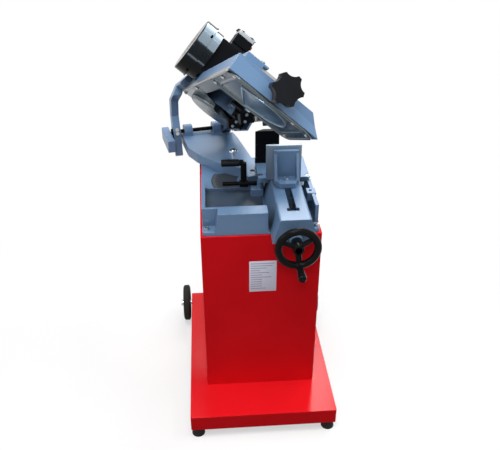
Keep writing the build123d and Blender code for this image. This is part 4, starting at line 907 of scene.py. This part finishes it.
GUIDE_SCREW_RADIUS, COWL_SCREW_RADIUS, SCREW_HEIGHT = 0.0050, 0.0042, 0.0050
GUIDE_SCREW_SETS = (
    ("rear_guide_screws", "bow", 0.339, ((-0.050, 0.000), (-0.036, 0.013))),
    ("front_guide_screws", "front_guide", 0.517, ((-0.050, 0.011), (-0.042, 0.032))))
COWL_RADIUS, COWL_V, COWL_N = 0.0972, -0.1715, 0.117
COWL_SCREWS, COWL_SCREW_TURN = 4, 63
face_front = Matrix.Rotation(QUARTER_TURN, 4, "X")
for screw_name, carrier, face_u, spots in GUIDE_SCREW_SETS:
    screws = copies(socket_screw(screw_name, GUIDE_SCREW_RADIUS, SCREW_HEIGHT), [
        Matrix.Translation((x, -face_u, z)) @ face_front for x, z in spots])
    set_in_place(screws, BOW)
    give_finish(screws, "dark_steel", carrier)
round_cowl = [math.radians(COWL_SCREW_TURN + 360 / COWL_SCREWS * step) for step in range(COWL_SCREWS)]
cowl_screws = copies(socket_screw("cowl_screws", COWL_SCREW_RADIUS, SCREW_HEIGHT), [
    Matrix.Translation((worm_u, COWL_V, COWL_N)) @ Matrix.Rotation(angle, 4, "Y")
    @ Matrix.Translation((0, 0, COWL_RADIUS)) for angle in round_cowl])
set_in_place(cowl_screws, WHEEL_PLANE)
give_finish(cowl_screws, "black_paint", "bow")

# %% [markdown]
# The transport wheels have ribbed tyres and bolted hubs. One rib is a bevelled block that is copied round
# the axle, and one hexagon bolt is copied round the outer face of the hub.

# %% tyre ribs and hub bolts
RIB_LOW, RIB_HIGH, RIBS = (-0.0095, -0.0022, 0.0718), (0.0095, 0.0022, 0.0742), 48
HUB_BOLTS, HUB_BOLT_RING, HUB_BOLT_OUT = 5, 0.030, 0.0075
HUB_BOLT_RADIUS, HUB_BOLT_DEPTH, BOLT_SOFT = 0.0062, 0.005, 0.0006


def round_axle(count):
    """Turns that spread a number of copies evenly round the axle."""
    return [Matrix.Rotation(math.radians(360 / count * step), 4, "X") for step in range(count)]


for side, road_wheel in ((-1, "left_wheel"), (1, "right_wheel")):
    axle = Matrix.Translation(joints[road_wheel + "_spin"]["pos_m"])
    rib = slab(road_wheel + "_ribs", RIB_LOW, RIB_HIGH)
    soften(rib, BOLT_SOFT, 2)
    ribs = copies(rib, round_axle(RIBS))
    set_in_place(ribs, axle)
    give_finish(ribs, "tyre", road_wheel)
    nothing_selected()
    bpy.ops.mesh.primitive_cylinder_add(
        vertices=6, radius=HUB_BOLT_RADIUS, depth=HUB_BOLT_DEPTH,
        location=(side * HUB_BOLT_OUT, 0, HUB_BOLT_RING), rotation=(0, QUARTER_TURN, 0))
    bolt = name_piece(road_wheel + "_bolts")
    soften(bolt, BOLT_SOFT, 2)
    bolts = copies(bolt, round_axle(HUB_BOLTS))
    set_in_place(bolts, axle)
    give_finish(bolts, "steel", road_wheel)

# %% [markdown]
# The mitre scale has fine pale graduations around the swivel's centre, one for every two degrees, and
# every fifth one is longer. Each is a thin raised bar, turned to point at the centre.

# %% graduations
GRADUATIONS, FIRST_ANGLE, ANGLE_STEP, LONG_EVERY = 23, 157, 2, 5
LONG_LINE, SHORT_LINE, LINE_END = 0.020, 0.011, 0.143
LINE_WIDTH, LINE_RISE = 0.0007, 0.0003
swivel = Vector(joints["mitre_swivel"]["pos_m"])
scale_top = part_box("mitre_scale")[1][2]
new_finish("scale_line", (0.34, 0.35, 0.35), (0.28, 0.29, 0.29), 0.0, 0.5, 0.05, 300, 0.0001, edge=0.0001)
lines = []
for step in range(GRADUATIONS):
    angle = math.radians(FIRST_ANGLE + ANGLE_STEP * step)
    length = LONG_LINE if step % LONG_EVERY == 0 else SHORT_LINE
    reach = LINE_END - length / 2
    nothing_selected()
    bpy.ops.mesh.primitive_cube_add(
        size=1,
        location=(swivel.x + reach * math.cos(angle), swivel.y + reach * math.sin(angle), scale_top),
        rotation=(0, 0, angle))
    line = name_piece("scale_bar")
    line.scale = (length, LINE_WIDTH, LINE_RISE)
    lines.append(line)
graduations = join_all("mitre_graduations", lines)
set_in_place(graduations)
give_finish(graduations, "scale_line", "stand")
